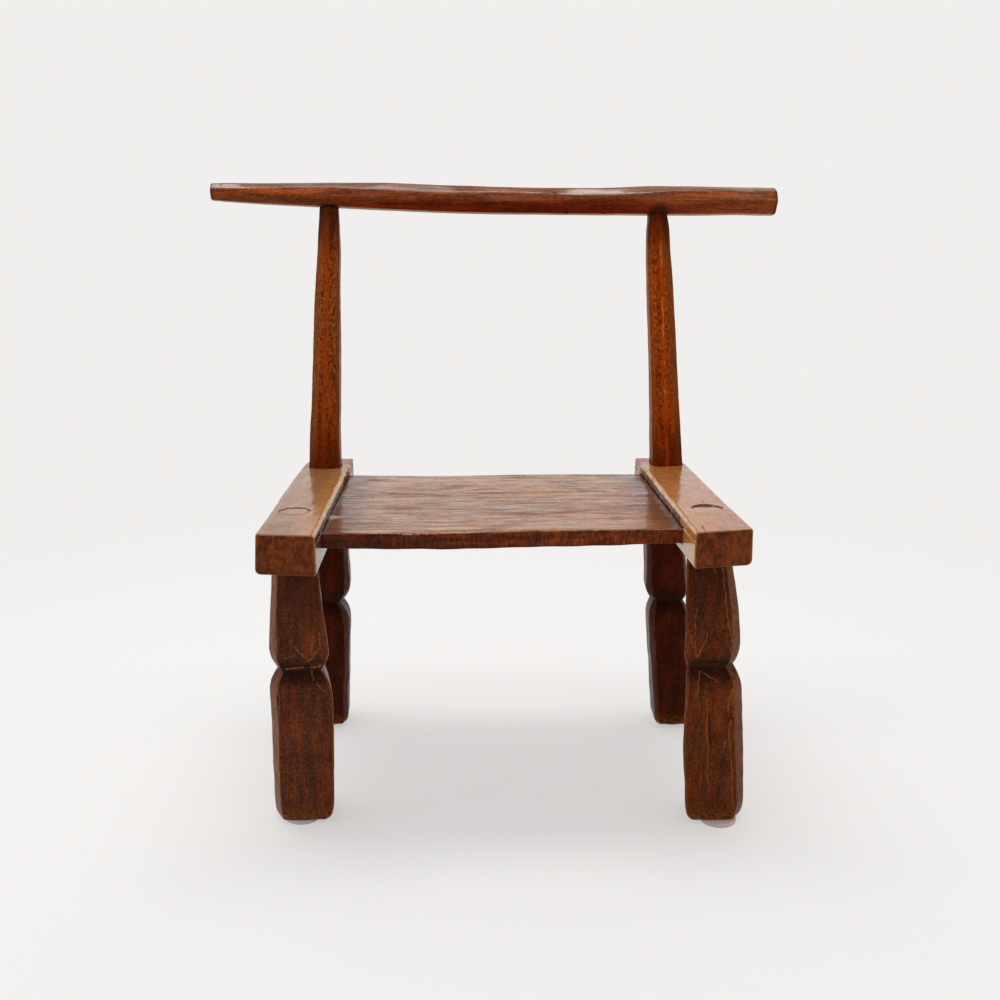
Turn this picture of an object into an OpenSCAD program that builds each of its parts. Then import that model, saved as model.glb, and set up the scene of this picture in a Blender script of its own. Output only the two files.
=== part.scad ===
// Low carved wooden chair: two side rails, a housed seat board, two front legs,
// two rear sticks that are leg and back post in one, a crest rail and four glides.
// X runs left to right, Y front to back, Z up. The floor is z = 0.

/* [Side rails] */
// Clear width between the two rails
seat_gap = 370; // [330:1:420]
// Length of a rail from its front tip to its rear end
rail_l = 397; // [380:1:440]
// Width of a rail
rail_w = 58; // [56:1:66]
// Height of a rail
rail_h = 40; // [36:1:48]
// Height of the rail tops above the floor
rail_top = 350; // [310:1:400]
// How far the slanted front end falls back on its outer side
rail_skew = 9; // [0:1:14]
// Radius of the worn long edges underneath
rail_round = 7; // [3:1:10]
// Width of the small flat along the long edges on top
rail_arris = 1.5; // [1:0.5:3]
// Length of the rounded outer corner at the rear end
nose_l = 40; // [20:1:44]
// Width that the rounded outer corner takes off
nose_w = 20; // [10:1:24]
// Radius of the inner corner at the rear end
heel_round = 14; // [6:1:16]

/* [Seat board] */
// Distance from the rails' front tips to the board's front edge
board_front = 61; // [40:1:75]
// Depth of the board, front to back
board_d = 280; // [240:1:290]
// Drop from the rail tops to the board's ends
board_drop = 12; // [8:1:14]
// Thickness of the board's ends, where they sit in the grooves
board_end_t = 15; // [12:1:17]
// Extra thickness that swells under the middle of the board
board_belly = 5; // [0:1:10]
// Depth of the shallow dish in the top
board_dish = 2; // [0:0.5:5]
// Depth of the grooves in the rails
groove = 8; // [6:1:9]

/* [Legs] */
// Distance from the rails' front tips to the front tenons
front_y = 103; // [85:1:125]
// How far the front tenons stand outside the middle of the rails
front_out = 5; // [0:1:7]
// Diameter of the front tenons
tenon_d = 33; // [26:1:36]
// Width of a front leg under the rail
top_w = 49; // [44:1:54]
// Depth of a leg under the rail
top_d = 50; // [44:1:56]
// Width of a front leg at its widest, above the notch
thigh_w = 64; // [60:1:72]
// Depth of a leg above the notch
thigh_d = 58; // [54:1:66]
// Width of a front leg at its waist
waist_w = 48; // [42:1:54]
// Depth of a leg at its waist
waist_d = 44; // [40:1:50]
// Height of the front legs' waist above the floor
waist_z = 179; // [150:1:200]
// How much lower the rear legs' waist sits
waist_drop = 7; // [0:1:12]
// Height of the notch's slope above the waist
notch_over = 14; // [10:1:24]
// Height of the notch's slope below the waist
notch_under = 18; // [10:1:26]
// Width of a front leg below the notch
calf_w = 66; // [60:1:74]
// Width of a front leg at the foot
foot_w = 62; // [56:1:70]
// Depth of a leg at the foot
foot_d = 58; // [50:1:66]
// Height and width of the bevel round the foot
foot_bevel = 4; // [2:0.5:5]
// Width of the legs' corner facets, seen from the front
facet_w = 9; // [6:1:11]
// Depth of the legs' corner facets, seen from the side
facet_d = 19; // [8:1:19]
// How much narrower the rear legs are
rear_slim = 10; // [6:1:12]
// Width of a rear leg under the rail
rear_top_w = 52; // [50:1:56]
// Outward lean of the left legs, from rail to foot
splay_left = 4; // [0:1:15]
// Outward lean of the right legs, from rail to foot
splay_right = 20; // [0:1:22]
// Backward lean of the left legs, from rail to foot
rake_left = 5; // [0:1:10]
// Forward lean of the right legs, from rail to foot
rake_right = 11; // [0:1:14]

/* [Back posts] */
// Distance from the posts' middle to the rails' rear ends
tail = 45; // [42:1:56]
// How far the posts stand outside the middle of the rails
post_out = 2; // [1:1:4]
// Width of a post where it leaves the rail
post_w = 40; // [34:1:41]
// Depth of a post where it leaves the rail
post_d = 40; // [34:1:41]
// Mean height of the posts above the rails
post_h = 313; // [260:1:360]
// Width and depth of a post in its upper half
post_neck = 34; // [30:1:36]
// Width and depth of a post under the crest
post_tip = 24; // [22:1:27]
// Width of the posts' corner facets, seen from the front
post_facet_w = 7; // [5:1:9]
// Depth of the posts' corner facets, seen from the side
post_facet_d = 9; // [5:1:9]
// Backward lean of the posts
lean_back = 38; // [20:1:48]
// Inward lean of the posts
lean_in = 12; // [0:1:20]

/* [Crest rail] */
// Length of the crest rail
crest_l = 702; // [620:1:800]
// How far the middle of the crest rail stands to the right of the seat's middle
crest_over = 2; // [0:1:12]
// Height of the crest rail at its thickest
crest_h = 36; // [34:1:44]
// Depth of the crest rail, front to back
crest_d = 37; // [34:1:44]
// Height lost by the crest rail from the left post to the right one
crest_fall = 8; // [0:1:16]
// Diameter of the posts' tenons
tip_tenon_d = 16; // [12:1:18]
// Length of the posts' tenons
tip_tenon_l = 16; // [10:1:18]
// Depth that a post's whole end is let into the crest
housing = 3; // [1:0.5:4]

/* [Glides] */
// Diameter of the glides under the feet
glide_d = 40; // [30:1:46]
// Thickness of the glides
glide_t = 4; // [3:0.5:6]
// How far the left front glide sits ahead of its foot's middle
glide_lead_left = 11; // [0:1:14]
// How far the right front glide sits ahead of its foot's middle
glide_lead_right = 18; // [0:1:20]

/* [Fits] */
// Gap round each tenon and post in its mortise
tenon_gap = 0.3; // [0.2:0.05:0.5]
// Gap round the board's ends in their grooves
board_gap = 0.3; // [0.2:0.05:0.5]

/* [Hidden] */
LEFT = -1;
RIGHT = 1;
arc_steps = 6;
board_steps = 12;
crest_sides = 12;
past = 1;
rail_under = rail_top - rail_h;
rail_x = (seat_gap + rail_w) / 2;
front_x = rail_x + front_out;
post_x = rail_x + post_out;
post_y = rail_l - tail;
crest_y = post_y + lean_back;
tip_x = post_x - lean_in;
whole_d = max(rail_l, crest_y + crest_d / 2);
post_cut = [post_facet_w, post_facet_d];

// Outline of a rectangle with its corners cut to facets of size cut, anticlockwise
function cut_corners(w, d, cut) = [
  [w/2 - cut.x, -d/2], [w/2, -d/2 + cut.y], [w/2, d/2 - cut.y], [w/2 - cut.x, d/2],
  [-w/2 + cut.x, d/2], [-w/2, d/2 - cut.y], [-w/2, -d/2 + cut.y], [-w/2 + cut.x, -d/2]
];

// The same outline lifted to height z with its middle at x, y
function level_ring(x, y, z, w, d, cut) = [for (p = cut_corners(w, d, cut)) [p.x + x, p.y + y, z]];

// Quarter arc of radii rx and ry round a centre, from angle a0 to a1
function arc(cx, cy, rx, ry, a0, a1) =
  [for (i = [0:arc_steps]) let (a = a0 + (a1 - a0) * i / arc_steps) [cx + rx * cos(a), cy + ry * sin(a)]];

// Solid skin over a row of rings that all have the same number of points
module skin(rings) {
  n = len(rings[0]);
  last = len(rings) - 1;
  points = [for (ring = rings) each ring];
  walls = [for (r = [0:last - 1], i = [0:n - 1])
    let (j = (i + 1) % n, a = r * n, b = a + n)
    each [[a + i, b + j, a + j], [a + i, b + i, b + j]]];
  start = [for (i = [0:n - 1]) i];
  end = [for (i = [n - 1:-1:0]) last * n + i];
  polyhedron(points, concat([start], walls, [end]));
}

// The bench frame has x = 0 in the seat's middle and y = 0 at the rails' front tips
module placed() {
  translate([-crest_over, -whole_d / 2, 0]) children();
}

// Plan of the right rail: slanted front, rounded outer and inner corners at the rear
module rail_plan() {
  inner = seat_gap / 2;
  outer = inner + rail_w;
  polygon(concat(
    [[inner, 0], [outer, rail_skew]],
    arc(outer - nose_w, rail_l - nose_l, nose_w, nose_l, 0, 90),
    arc(inner + heel_round, rail_l - heel_round, heel_round, heel_round, 90, 180)));
}

// Section of the right rail across its length
module rail_section() {
  inner = seat_gap / 2;
  outer = inner + rail_w;
  polygon(concat(
    arc(inner + rail_round, rail_under + rail_round, rail_round, rail_round, 180, 270),
    arc(outer - rail_round, rail_under + rail_round, rail_round, rail_round, 270, 360),
    [[outer, rail_top - rail_arris], [outer - rail_arris, rail_top]],
    [[inner + rail_arris, rail_top], [inner, rail_top - rail_arris]]));
}

// Right rail with its front mortise, its rear mortise and its stopped groove
module rail() {
  inner = seat_gap / 2;
  groove_low = rail_top - board_drop - board_end_t - board_gap;
  difference() {
    intersection() {
      translate([0, 0, rail_under]) linear_extrude(rail_h) rail_plan();
      rotate([90, 0, 0]) translate([0, 0, -rail_l]) linear_extrude(rail_l) rail_section();
    }
    translate([front_x, front_y, rail_under - past])
      cylinder(h = rail_h + 2 * past, d = tenon_d + 2 * tenon_gap, $fn = 64);
    translate([post_x, post_y, rail_under - past])
      linear_extrude(rail_h + 2 * past)
        polygon(cut_corners(post_w + 2 * tenon_gap, post_d + 2 * tenon_gap, post_cut));
    translate([inner - past, board_front - board_gap, groove_low])
      cube([groove + board_gap + past, board_d + 2 * board_gap, board_end_t + 2 * board_gap]);
  }
}

module left_side_rail() {
  color("peru") placed() mirror([1, 0, 0]) rail();
}

module right_side_rail() {
  color("peru") placed() rail();
}

// Section of the seat board: flat ends for the grooves, dished top, swollen underside
module board_section() {
  inner = seat_gap / 2;
  reach = inner + groove;
  top = rail_top - board_drop;
  spread = function(x) 1 - pow(x / inner, 2);
  polygon(concat(
    [for (i = [0:board_steps]) let (x = inner * (2 * i / board_steps - 1))
      [x, top - board_end_t - board_belly * spread(x)]],
    [[reach, top - board_end_t], [reach, top]],
    [for (i = [board_steps:-1:0]) let (x = inner * (2 * i / board_steps - 1))
      [x, top - board_dish * spread(x)]],
    [[-reach, top], [-reach, top - board_end_t]]));
}

module seat_board() {
  color("saddlebrown") placed()
    translate([0, board_front + board_d, 0]) rotate([90, 0, 0])
      linear_extrude(board_d) board_section();
}

// Rings of a leg from the foot up to the rail, leaning straight from top to foot
function leg_rings(x, y, splay, rake, slim, waist, under_w) =
  let (drop = rail_under - glide_t,
       rows = [
         [glide_t, foot_w - slim - 2 * foot_bevel, foot_d - 2 * foot_bevel],
         [glide_t + foot_bevel, foot_w - slim, foot_d],
         [waist - notch_under, calf_w - slim, foot_d],
         [waist, waist_w - slim, waist_d],
         [waist + notch_over, thigh_w - slim, thigh_d],
         [rail_under, under_w, top_d]])
  [for (row = rows) let (t = (rail_under - row[0]) / drop)
    level_ring(x + splay * t, y + rake * t, row[0], row[1], row[2], [facet_w, facet_d])];

// Front leg with its round tenon flush with the rail's top
module front_leg(side, splay, rake) {
  skin(leg_rings(side * front_x, front_y, side * splay, rake, 0, waist_z, top_w));
  translate([side * front_x, front_y, rail_under - past])
    cylinder(h = rail_h + past, d = tenon_d, $fn = 64);
}

module front_left_leg() {
  color("saddlebrown") placed() front_leg(LEFT, splay_left, rake_left);
}

module front_right_leg() {
  color("saddlebrown") placed() front_leg(RIGHT, splay_right, -rake_right);
}

// Height of a post's shoulder under the crest
function tip_z(side) = rail_top + post_h - side * crest_fall / 2;

// Rings of a post from the rail's underside up into the crest
function post_rings(side) =
  let (height = tip_z(side) - rail_top,
       rows = [[0, post_w, post_d], [0.3, 0.5 * (post_w + post_neck), 0.5 * (post_d + post_neck)],
               [0.65, post_neck, post_neck], [0.9, 0.5 * (post_neck + post_tip), 0.5 * (post_neck + post_tip)],
               [1, post_tip, post_tip]])
  concat(
    [level_ring(side * post_x, post_y, rail_under, post_w, post_d, post_cut)],
    [for (row = rows)
      level_ring(side * (post_x - lean_in * row[0]), post_y + lean_back * row[0],
                 rail_top + height * row[0], row[1], row[2], post_cut)],
    [level_ring(side * tip_x, crest_y, tip_z(side) + housing, post_tip, post_tip, post_cut)]);

// Rear stick: leg below the rail, post above it and a round tenon for the crest
module rear_stick(side, splay, rake) {
  skin(concat(
    leg_rings(side * post_x, post_y, side * splay, rake, rear_slim, waist_z - waist_drop, rear_top_w),
    post_rings(side)));
  translate([side * tip_x, crest_y, tip_z(side) + housing - past])
    cylinder(h = tip_tenon_l + past, d = tip_tenon_d, $fn = 48);
}

module rear_left_leg_and_post() {
  color("sienna") placed() rear_stick(LEFT, splay_left, rake_left);
}

module rear_right_leg_and_post() {
  color("sienna") placed() rear_stick(RIGHT, splay_right, -rake_right);
}

// Share of the crest's length, height lost there, depth lost there, underside's rise there
crest_rows = [
  [-0.5, 15, 13, 7], [-0.385, 8.5, 6, 2], [-0.29, 2.5, 2, 0], [-0.2, 0, 0, -1.5],
  [-0.08, 1, 0, -2.5], [0.01, 1.5, 0, -3], [0.11, 2.5, 1, -2], [0.2, 3.5, 1, -1],
  [0.29, 0.5, 0, 0], [0.35, 0, 0, 0.5], [0.435, 3.5, 4, 4], [0.5, 6, 8, 5.5]
];

// Underside of the crest at x where no row lifts it: straight from one post to the other
function crest_under(x) = rail_top + post_h - crest_fall * x / (2 * tip_x);

// Ring of the crest across its length, flat on top, underneath, in front and behind
function crest_ring(row) =
  let (x = crest_over + row[0] * crest_l, h = crest_h - row[1], d = crest_d - row[2],
       stretch = 1 / cos(180 / crest_sides))
  [for (i = [0:crest_sides - 1]) let (a = 360 * (i + 0.5) / crest_sides)
    [x, crest_y + d / 2 * stretch * cos(a), crest_under(x) + row[3] + h / 2 * (1 + stretch * sin(a))]];

// Mortise in the crest for one post: a shallow housing and a round blind hole
module crest_mortise(side) {
  translate([side * tip_x, crest_y, tip_z(side) - crest_h / 4])
    linear_extrude(crest_h / 4 + housing)
      polygon(cut_corners(post_tip + 2 * tenon_gap, post_tip + 2 * tenon_gap, post_cut));
  translate([side * tip_x, crest_y, tip_z(side)])
    cylinder(h = housing + tip_tenon_l + tenon_gap, d = tip_tenon_d + 2 * tenon_gap, $fn = 48);
}

module crest_rail() {
  color("sienna") placed() difference() {
    skin([for (row = crest_rows) crest_ring(row)]);
    for (side = [LEFT, RIGHT]) crest_mortise(side);
  }
}

// Round glide under a foot whose middle is at x, y
module glide(x, y) {
  color("mistyrose") placed() translate([x, y, 0]) cylinder(h = glide_t, d = glide_d, $fn = 64);
}

module front_left_glide() {
  glide(-front_x - splay_left, front_y + rake_left - glide_lead_left);
}

module front_right_glide() {
  glide(front_x + splay_right, front_y - rake_right - glide_lead_right);
}

module rear_left_glide() {
  glide(-post_x - splay_left, post_y + rake_left);
}

module rear_right_glide() {
  glide(post_x + splay_right, post_y - rake_right);
}

left_side_rail();
right_side_rail();
seat_board();
front_left_leg();
front_right_leg();
rear_left_leg_and_post();
rear_right_leg_and_post();
crest_rail();
front_left_glide();
front_right_glide();
rear_left_glide();
rear_right_glide();
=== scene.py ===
"""Looks of a low carved wooden chair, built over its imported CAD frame.

Places are given in the seat's own frame, in millimetres: x from the seat's middle to the right,
y from the rails' front tips towards the back, z above the floor or above the rail tops.
"""

import math

import bmesh
import bpy
import numpy as np
from bpy.props import FloatProperty, FloatVectorProperty, IntProperty, PointerProperty
from mathutils import Euler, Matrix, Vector, noise


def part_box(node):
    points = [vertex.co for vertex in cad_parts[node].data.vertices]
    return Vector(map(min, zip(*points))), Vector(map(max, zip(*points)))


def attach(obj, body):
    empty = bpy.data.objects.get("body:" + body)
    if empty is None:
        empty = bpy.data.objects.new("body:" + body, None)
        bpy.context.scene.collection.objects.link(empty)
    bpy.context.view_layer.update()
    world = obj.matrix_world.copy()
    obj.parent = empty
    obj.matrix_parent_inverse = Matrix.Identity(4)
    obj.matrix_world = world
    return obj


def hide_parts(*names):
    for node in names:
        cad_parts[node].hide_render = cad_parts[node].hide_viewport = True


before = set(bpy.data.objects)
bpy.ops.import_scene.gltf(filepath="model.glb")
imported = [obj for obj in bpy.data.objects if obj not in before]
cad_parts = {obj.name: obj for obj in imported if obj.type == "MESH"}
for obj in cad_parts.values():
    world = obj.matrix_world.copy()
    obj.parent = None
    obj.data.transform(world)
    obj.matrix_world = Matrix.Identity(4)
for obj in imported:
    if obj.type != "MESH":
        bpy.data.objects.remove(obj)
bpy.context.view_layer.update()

bl_info = {
    "name": "Carved Wooden Chair",
    "version": (1, 0, 0),
    "blender": (4, 5, 0),
    "location": "3D View > Sidebar > Chair",
    "description": "Builds the visible pieces and the stage of a hand-hewn low chair",
    "category": "Object",
}

MM = 0.001
LEFT = -1
RIGHT = 1
SIDES = {LEFT: "left", RIGHT: "right"}

# Places read from the frame
LEFT_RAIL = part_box("left_side_rail")
RIGHT_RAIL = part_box("right_side_rail")
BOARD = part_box("seat_board")
SEAT_X = (LEFT_RAIL[1].x + RIGHT_RAIL[0].x) / 2
TIPS_Y = RIGHT_RAIL[0].y
RAIL_TOP = RIGHT_RAIL[1].z / MM
RAIL_UNDER = RIGHT_RAIL[0].z / MM
RAIL_INNER = (RIGHT_RAIL[0].x - SEAT_X) / MM
RAIL_WIDE = (RIGHT_RAIL[1].x - RIGHT_RAIL[0].x) / MM
GLIDES = ("front_left_glide", "front_right_glide", "rear_left_glide", "rear_right_glide")


def seat_point(x, y, z):
    """A place in the seat's frame, in millimetres above the floor, as a place in the row frame."""
    return Vector((SEAT_X + x * MM, TIPS_Y + y * MM, z * MM))


# Sizes and colours that a user may change
def length(label, text, millimetres):
    """A length property with its name, its description and its default."""
    return FloatProperty(name=label, description=text, default=millimetres * MM, unit="LENGTH")


def tint(label, text, colour):
    """A colour property with its name, its description and its default."""
    return FloatVectorProperty(
        name=label, description=text, default=colour, subtype="COLOR", min=0, max=1
    )


class ChairSizes(bpy.types.PropertyGroup):
    """Sizes of the hewing, the wear and the joints."""

    hewing: length("Hewing", "How far the hewn facets wander in and out along a stick", 0.9)
    scoop: length("Adze Scoop", "Depth of the shallow scoops that the adze left", 0.35)
    rail_bevel: length("Worn Rail Edge", "Mean width of the worn bevel along a rail's inner top edge", 2.8)
    groove: length("Groove Depth", "Depth of the groove that holds the seat board", 8.0)
    tenon_gap: length("Tenon Gap", "Open line round a tenon's end on the rail's top", 0.7)
    board_wave: length("Board Wave", "Height of the slow waves in the seat board's top", 0.9)
    crest_hewing: FloatProperty(
        name="Crest Hewing",
        description="How unevenly the facets of the crest rail are cut, as a share of its thickness",
        default=0.05,
        subtype="FACTOR",
    )
    splinter_length: length("Splinter Length", "Length of the slivers left along the grooves", 7.0)
    splinters: IntProperty(
        name="Splinters",
        description="Number of slivers left along each groove",
        default=26,
    )
    glide_rim: length("Glide Rim", "Radius of the rounded rim of a glide", 1.4)


class ChairColours(bpy.types.PropertyGroup):
    """Colours of the woods, their wear and the glides."""

    rail: tint("Rail", "Golden brown of the side rails", (0.43, 0.175, 0.06))
    honey: tint("Honey", "Golden tone beside the rails' inner edges", (0.56, 0.225, 0.055))
    # Also painted as floor light on the crest's underside facet
    bare: tint("Bare", "Light wood of the rails' most worn edges", (0.72, 0.46, 0.22))
    end_dark: tint("Dark End Grain", "Dark tone of the rails' ends", (0.11, 0.02, 0.004))
    end_light: tint("Light End Grain", "Light tone of the rails' ends", (0.3, 0.068, 0.012))
    seat: tint("Seat", "Warm brown of the seat board", (0.4, 0.15, 0.04))
    seat_edge: tint("Seat Edge", "Dark brown of the seat board's edges", (0.17, 0.031, 0.007))
    leg: tint("Leg", "Dark brown of the front legs", (0.197, 0.052, 0.019))
    # The base of the painted grey sheen on the side facets of the legs and the posts
    dull: tint("Dull", "Grey brown of the posts' side facets", (0.17, 0.075, 0.03))
    # A darker brown than the front legs': painted shade under the chair
    shaded_rear_leg: tint("Rear Leg", "Dark brown of the rear legs", (0.1, 0.015, 0.003))
    scuff: tint("Scuff", "Orange specks where the feet are scuffed", (0.44, 0.13, 0.018))
    post: tint("Post", "Reddish brown of the back posts", (0.42, 0.066, 0.006))
    crest: tint("Crest", "Reddish brown of the crest rail", (0.37, 0.078, 0.017))
    # Also the colour of the painted shade round the legs' notches and tops, in the tenons' gaps and where
    # the posts meet the crest
    stain_and_shade: tint("Stain", "Nearly black brown of old streaks and grime", (0.018, 0.006, 0.003))
    worn: tint("Worn", "Orange wood that shows where edges are rubbed", (0.44, 0.14, 0.03))
    # Also the colour of the painted glints on the seat board's front edge
    glide: tint("Glide", "Pale plastic of the glides", (0.9, 0.76, 0.72))


class ChairStage(bpy.types.PropertyGroup):
    """Camera, lamps and floor."""

    camera_left: length("Camera Left", "How far the camera stands to the left of the seat's middle", 42.05)
    camera_ahead: length("Camera Ahead", "How far the camera stands in front of the rails' tips", 1031.15)
    camera_height: length("Camera Height", "Height of the camera above the floor", 622.2)
    camera_tilt: FloatProperty(
        name="Camera Tilt",
        description="How far the camera looks down",
        default=math.radians(13),
        subtype="ANGLE",
    )
    camera_turn: FloatProperty(
        name="Camera Turn",
        description="How far the camera turns towards the right of the chair",
        default=math.radians(2),
        subtype="ANGLE",
    )
    lens: FloatProperty(
        name="Lens",
        description="Focal length on a 36 mm sensor, in millimetres",
        default=39.6,
    )
    lamp_power: FloatProperty(
        name="Lamp Power",
        description="Power of the soft lamp over the chair",
        default=16.0,
        unit="POWER",
    )
    room_light: FloatProperty(
        name="Room Light",
        description="Strength of the pale room behind and beside the chair",
        default=0.92,
        subtype="FACTOR",
    )
    backdrop: tint("Backdrop", "Pale backdrop that the camera sees", (0.88, 0.86, 0.845))
    floor: tint("Floor", "Pale floor", (0.9, 0.88, 0.86))
    floor_glow: tint("Floor Glow", "Light that the floor seems to give off", (0.95, 0.935, 0.925))
    floor_bounce: tint("Floor Bounce", "Floor as its light reaches the chair", (0.62, 0.6, 0.58))


# Mesh making
MERGED = 0.01 * MM
# The curvatures between which a surface turns worn, per metre, and the sharpest that counts
WEAR_STARTS = 25.0
WEAR_FULL = 150.0
SHARPEST = 600.0
WEAR_PASSES = 3


def smooth_step(low, high, value):
    """Rises smoothly from 0 at low to 1 at high."""
    share = np.clip((value - low) / (high - low), 0, 1)
    return share * share * (3 - 2 * share)


def along(rows, height, column):
    """Value of one column of a table at a height, eased between the table's rows."""
    heights = [row[0] for row in rows]
    values = [row[column] for row in rows]
    return float(np.interp(height, heights, values))


def smoothly(rows, place, column, reach=12.0):
    """Value of one column of a table, with the table's corners rounded over a reach."""
    room = max(0.0, min(reach, place - rows[0][0], rows[-1][0] - place))
    shifts = (-1.0, -0.5, 0.0, 0.5, 1.0)
    return sum(along(rows, place + room * shift, column) for shift in shifts) / len(shifts)


def stations(start, end, step, keys=(), fine=None, reach=0.0):
    """Places from start to end, one about every step, closer together near the key places."""
    spots = set(np.linspace(start, end, int(round((end - start) / step)) + 1).tolist())
    for key in keys:
        near = np.arange(key - reach, key + reach + fine / 2, fine) if fine else [key]
        spots.update(float(spot) for spot in near if start < spot < end)
    kept = []
    least = (fine or step) * 0.45
    for spot in sorted(spots):
        if not kept or spot - kept[-1] > least:
            kept.append(spot)
    return kept


def skin(name, rings, cap_steps=4):
    """Closed mesh over a row of rings in the row frame, its two ends closed by shrinking rings."""
    first = np.array(rings[0])
    last = np.array(rings[-1])
    shares = [step / cap_steps for step in range(1, cap_steps)]
    start = [first.mean(0) + (first - first.mean(0)) * share for share in shares]
    end = [last.mean(0) + (last - last.mean(0)) * share for share in reversed(shares)]
    rows = start + [np.array(ring) for ring in rings] + end
    count = len(first)
    points = np.concatenate(rows + [first.mean(0)[None], last.mean(0)[None]])
    low_pole = len(rows) * count
    faces = []
    for row in range(len(rows) - 1):
        for spot in range(count):
            here = row * count + spot
            beside = row * count + (spot + 1) % count
            faces.append((here, beside, beside + count, here + count))
    top_row = (len(rows) - 1) * count
    for spot in range(count):
        beside = (spot + 1) % count
        faces.append((low_pole, beside, spot))
        faces.append((low_pole + 1, top_row + spot, top_row + beside))
    mesh = bpy.data.meshes.new(name)
    mesh.from_pydata(points.tolist(), [], faces)
    return finished(name, mesh)


def linked(name, data):
    """New object with this data, linked to the scene."""
    made = bpy.data.objects.new(name, data)
    bpy.context.scene.collection.objects.link(made)
    return made


def finished(name, mesh):
    """Object for a mesh whose doubles are merged and whose faces point outwards."""
    work = bmesh.new()
    work.from_mesh(mesh)
    bmesh.ops.remove_doubles(work, verts=work.verts, dist=MERGED)
    bmesh.ops.recalc_face_normals(work, faces=work.faces)
    work.to_mesh(mesh)
    work.free()
    mesh.shade_smooth()
    return linked(name, mesh)


def baked(piece):
    """The piece with its modifiers worked into a plain mesh."""
    bpy.context.view_layer.update()
    shown = piece.evaluated_get(bpy.context.evaluated_depsgraph_get())
    mesh = bpy.data.meshes.new_from_object(shown)
    piece.modifiers.clear()
    if piece.type == "MESH":
        piece.data = mesh
        return piece
    made = linked(piece.name + "_mesh", mesh)
    bpy.data.objects.remove(piece)
    return made


def cut_away(piece, cutter):
    """Cuts the cutter's shape out of the piece and removes the cutter."""
    cut = piece.modifiers.new("cut", "BOOLEAN")
    cut.operation = "DIFFERENCE"
    cut.solver = "EXACT"
    cut.object = cutter
    baked(piece)
    bpy.data.objects.remove(cutter)


def mark_wear(mesh):
    """Stores how convex (worn) and how hollow the surface is at every point, from 0 to 1."""
    count = len(mesh.vertices)
    places = np.zeros(count * 3)
    mesh.vertices.foreach_get("co", places)
    places = places.reshape(-1, 3)
    normals = np.zeros(count * 3, np.float32)
    mesh.vertex_normals.foreach_get("vector", normals)
    normals = normals.reshape(-1, 3)
    ends = np.zeros(len(mesh.edges) * 2, np.int32)
    mesh.edges.foreach_get("vertices", ends)
    one, two = ends.reshape(-1, 2).T
    gap = places[one] - places[two]
    square = np.maximum((gap * gap).sum(1), 1e-10)
    curve_one = 2 * (normals[one] * gap).sum(1) / square
    curve_two = -2 * (normals[two] * gap).sum(1) / square
    neighbours = np.bincount(one, minlength=count) + np.bincount(two, minlength=count)
    neighbours = np.maximum(neighbours, 1)
    curve = np.bincount(one, curve_one, count) + np.bincount(two, curve_two, count)
    curve = np.clip(curve / neighbours, -SHARPEST, SHARPEST)
    for _ in range(WEAR_PASSES):
        around = np.bincount(one, curve[two], count) + np.bincount(two, curve[one], count)
        curve = 0.4 * curve + 0.6 * around / neighbours
    for label, sign in (("worn", 1), ("hollow", -1)):
        values = smooth_step(WEAR_STARTS, WEAR_FULL, sign * curve).astype(np.float32)
        mesh.attributes.new(label, "FLOAT", "POINT").data.foreach_set("value", values)


def settle(piece, slot, nodes, *materials):
    """Gives a finished piece its materials and its place in the frame's table; the slot is not used."""
    mark_wear(piece.data)
    for material in materials:
        piece.data.materials.append(material)
    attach(piece, "root")
    if nodes:
        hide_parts(*nodes)


def remove_old(name):
    """Removes what an earlier run of the same operator made."""
    old = bpy.data.objects.get(name)
    if old:
        bpy.data.objects.remove(old)


# Hewn sticks: legs, posts and tenons
AROUND = 168
SHARP = 60.0
STEP = 2.6
FINE_STEP = 1.3
FULL_WIDTH = 66.0


def facets_of(corners):
    """Directions and distances of the faces between corners listed anticlockwise from above."""
    facets = []
    for one, two in zip(corners, corners[1:] + corners[:1]):
        run = Vector(two) - Vector(one)
        outward = Vector((run.y, -run.x)).normalized()
        facets.append((math.atan2(outward.y, outward.x), outward.dot(Vector(one))))
    return facets


def hewn_section(wide, deep, cuts, turns, share=1.0):
    """Facets of a four-sided stick whose corners are cut off, the front left corner first.

    Each cut is a corner facet's width and depth. The turns say how far the left and the right
    side draw in towards the back.
    """
    front_left, front_right, rear_right, rear_left = (Vector(cut) * share for cut in cuts)
    left = -wide / 2
    right = wide / 2
    front = -deep / 2
    rear = deep / 2
    rear_right_x = right - turns[1] * share
    rear_left_x = left + turns[0] * share
    return facets_of([
        (left + front_left.x, front),
        (right - front_right.x, front),
        (right, front + front_right.y),
        (rear_right_x, rear - rear_right.y),
        (rear_right_x - rear_right.x, rear),
        (rear_left_x + rear_left.x, rear),
        (rear_left_x, rear - rear_left.y),
        (left, front + front_left.y),
    ])


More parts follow.
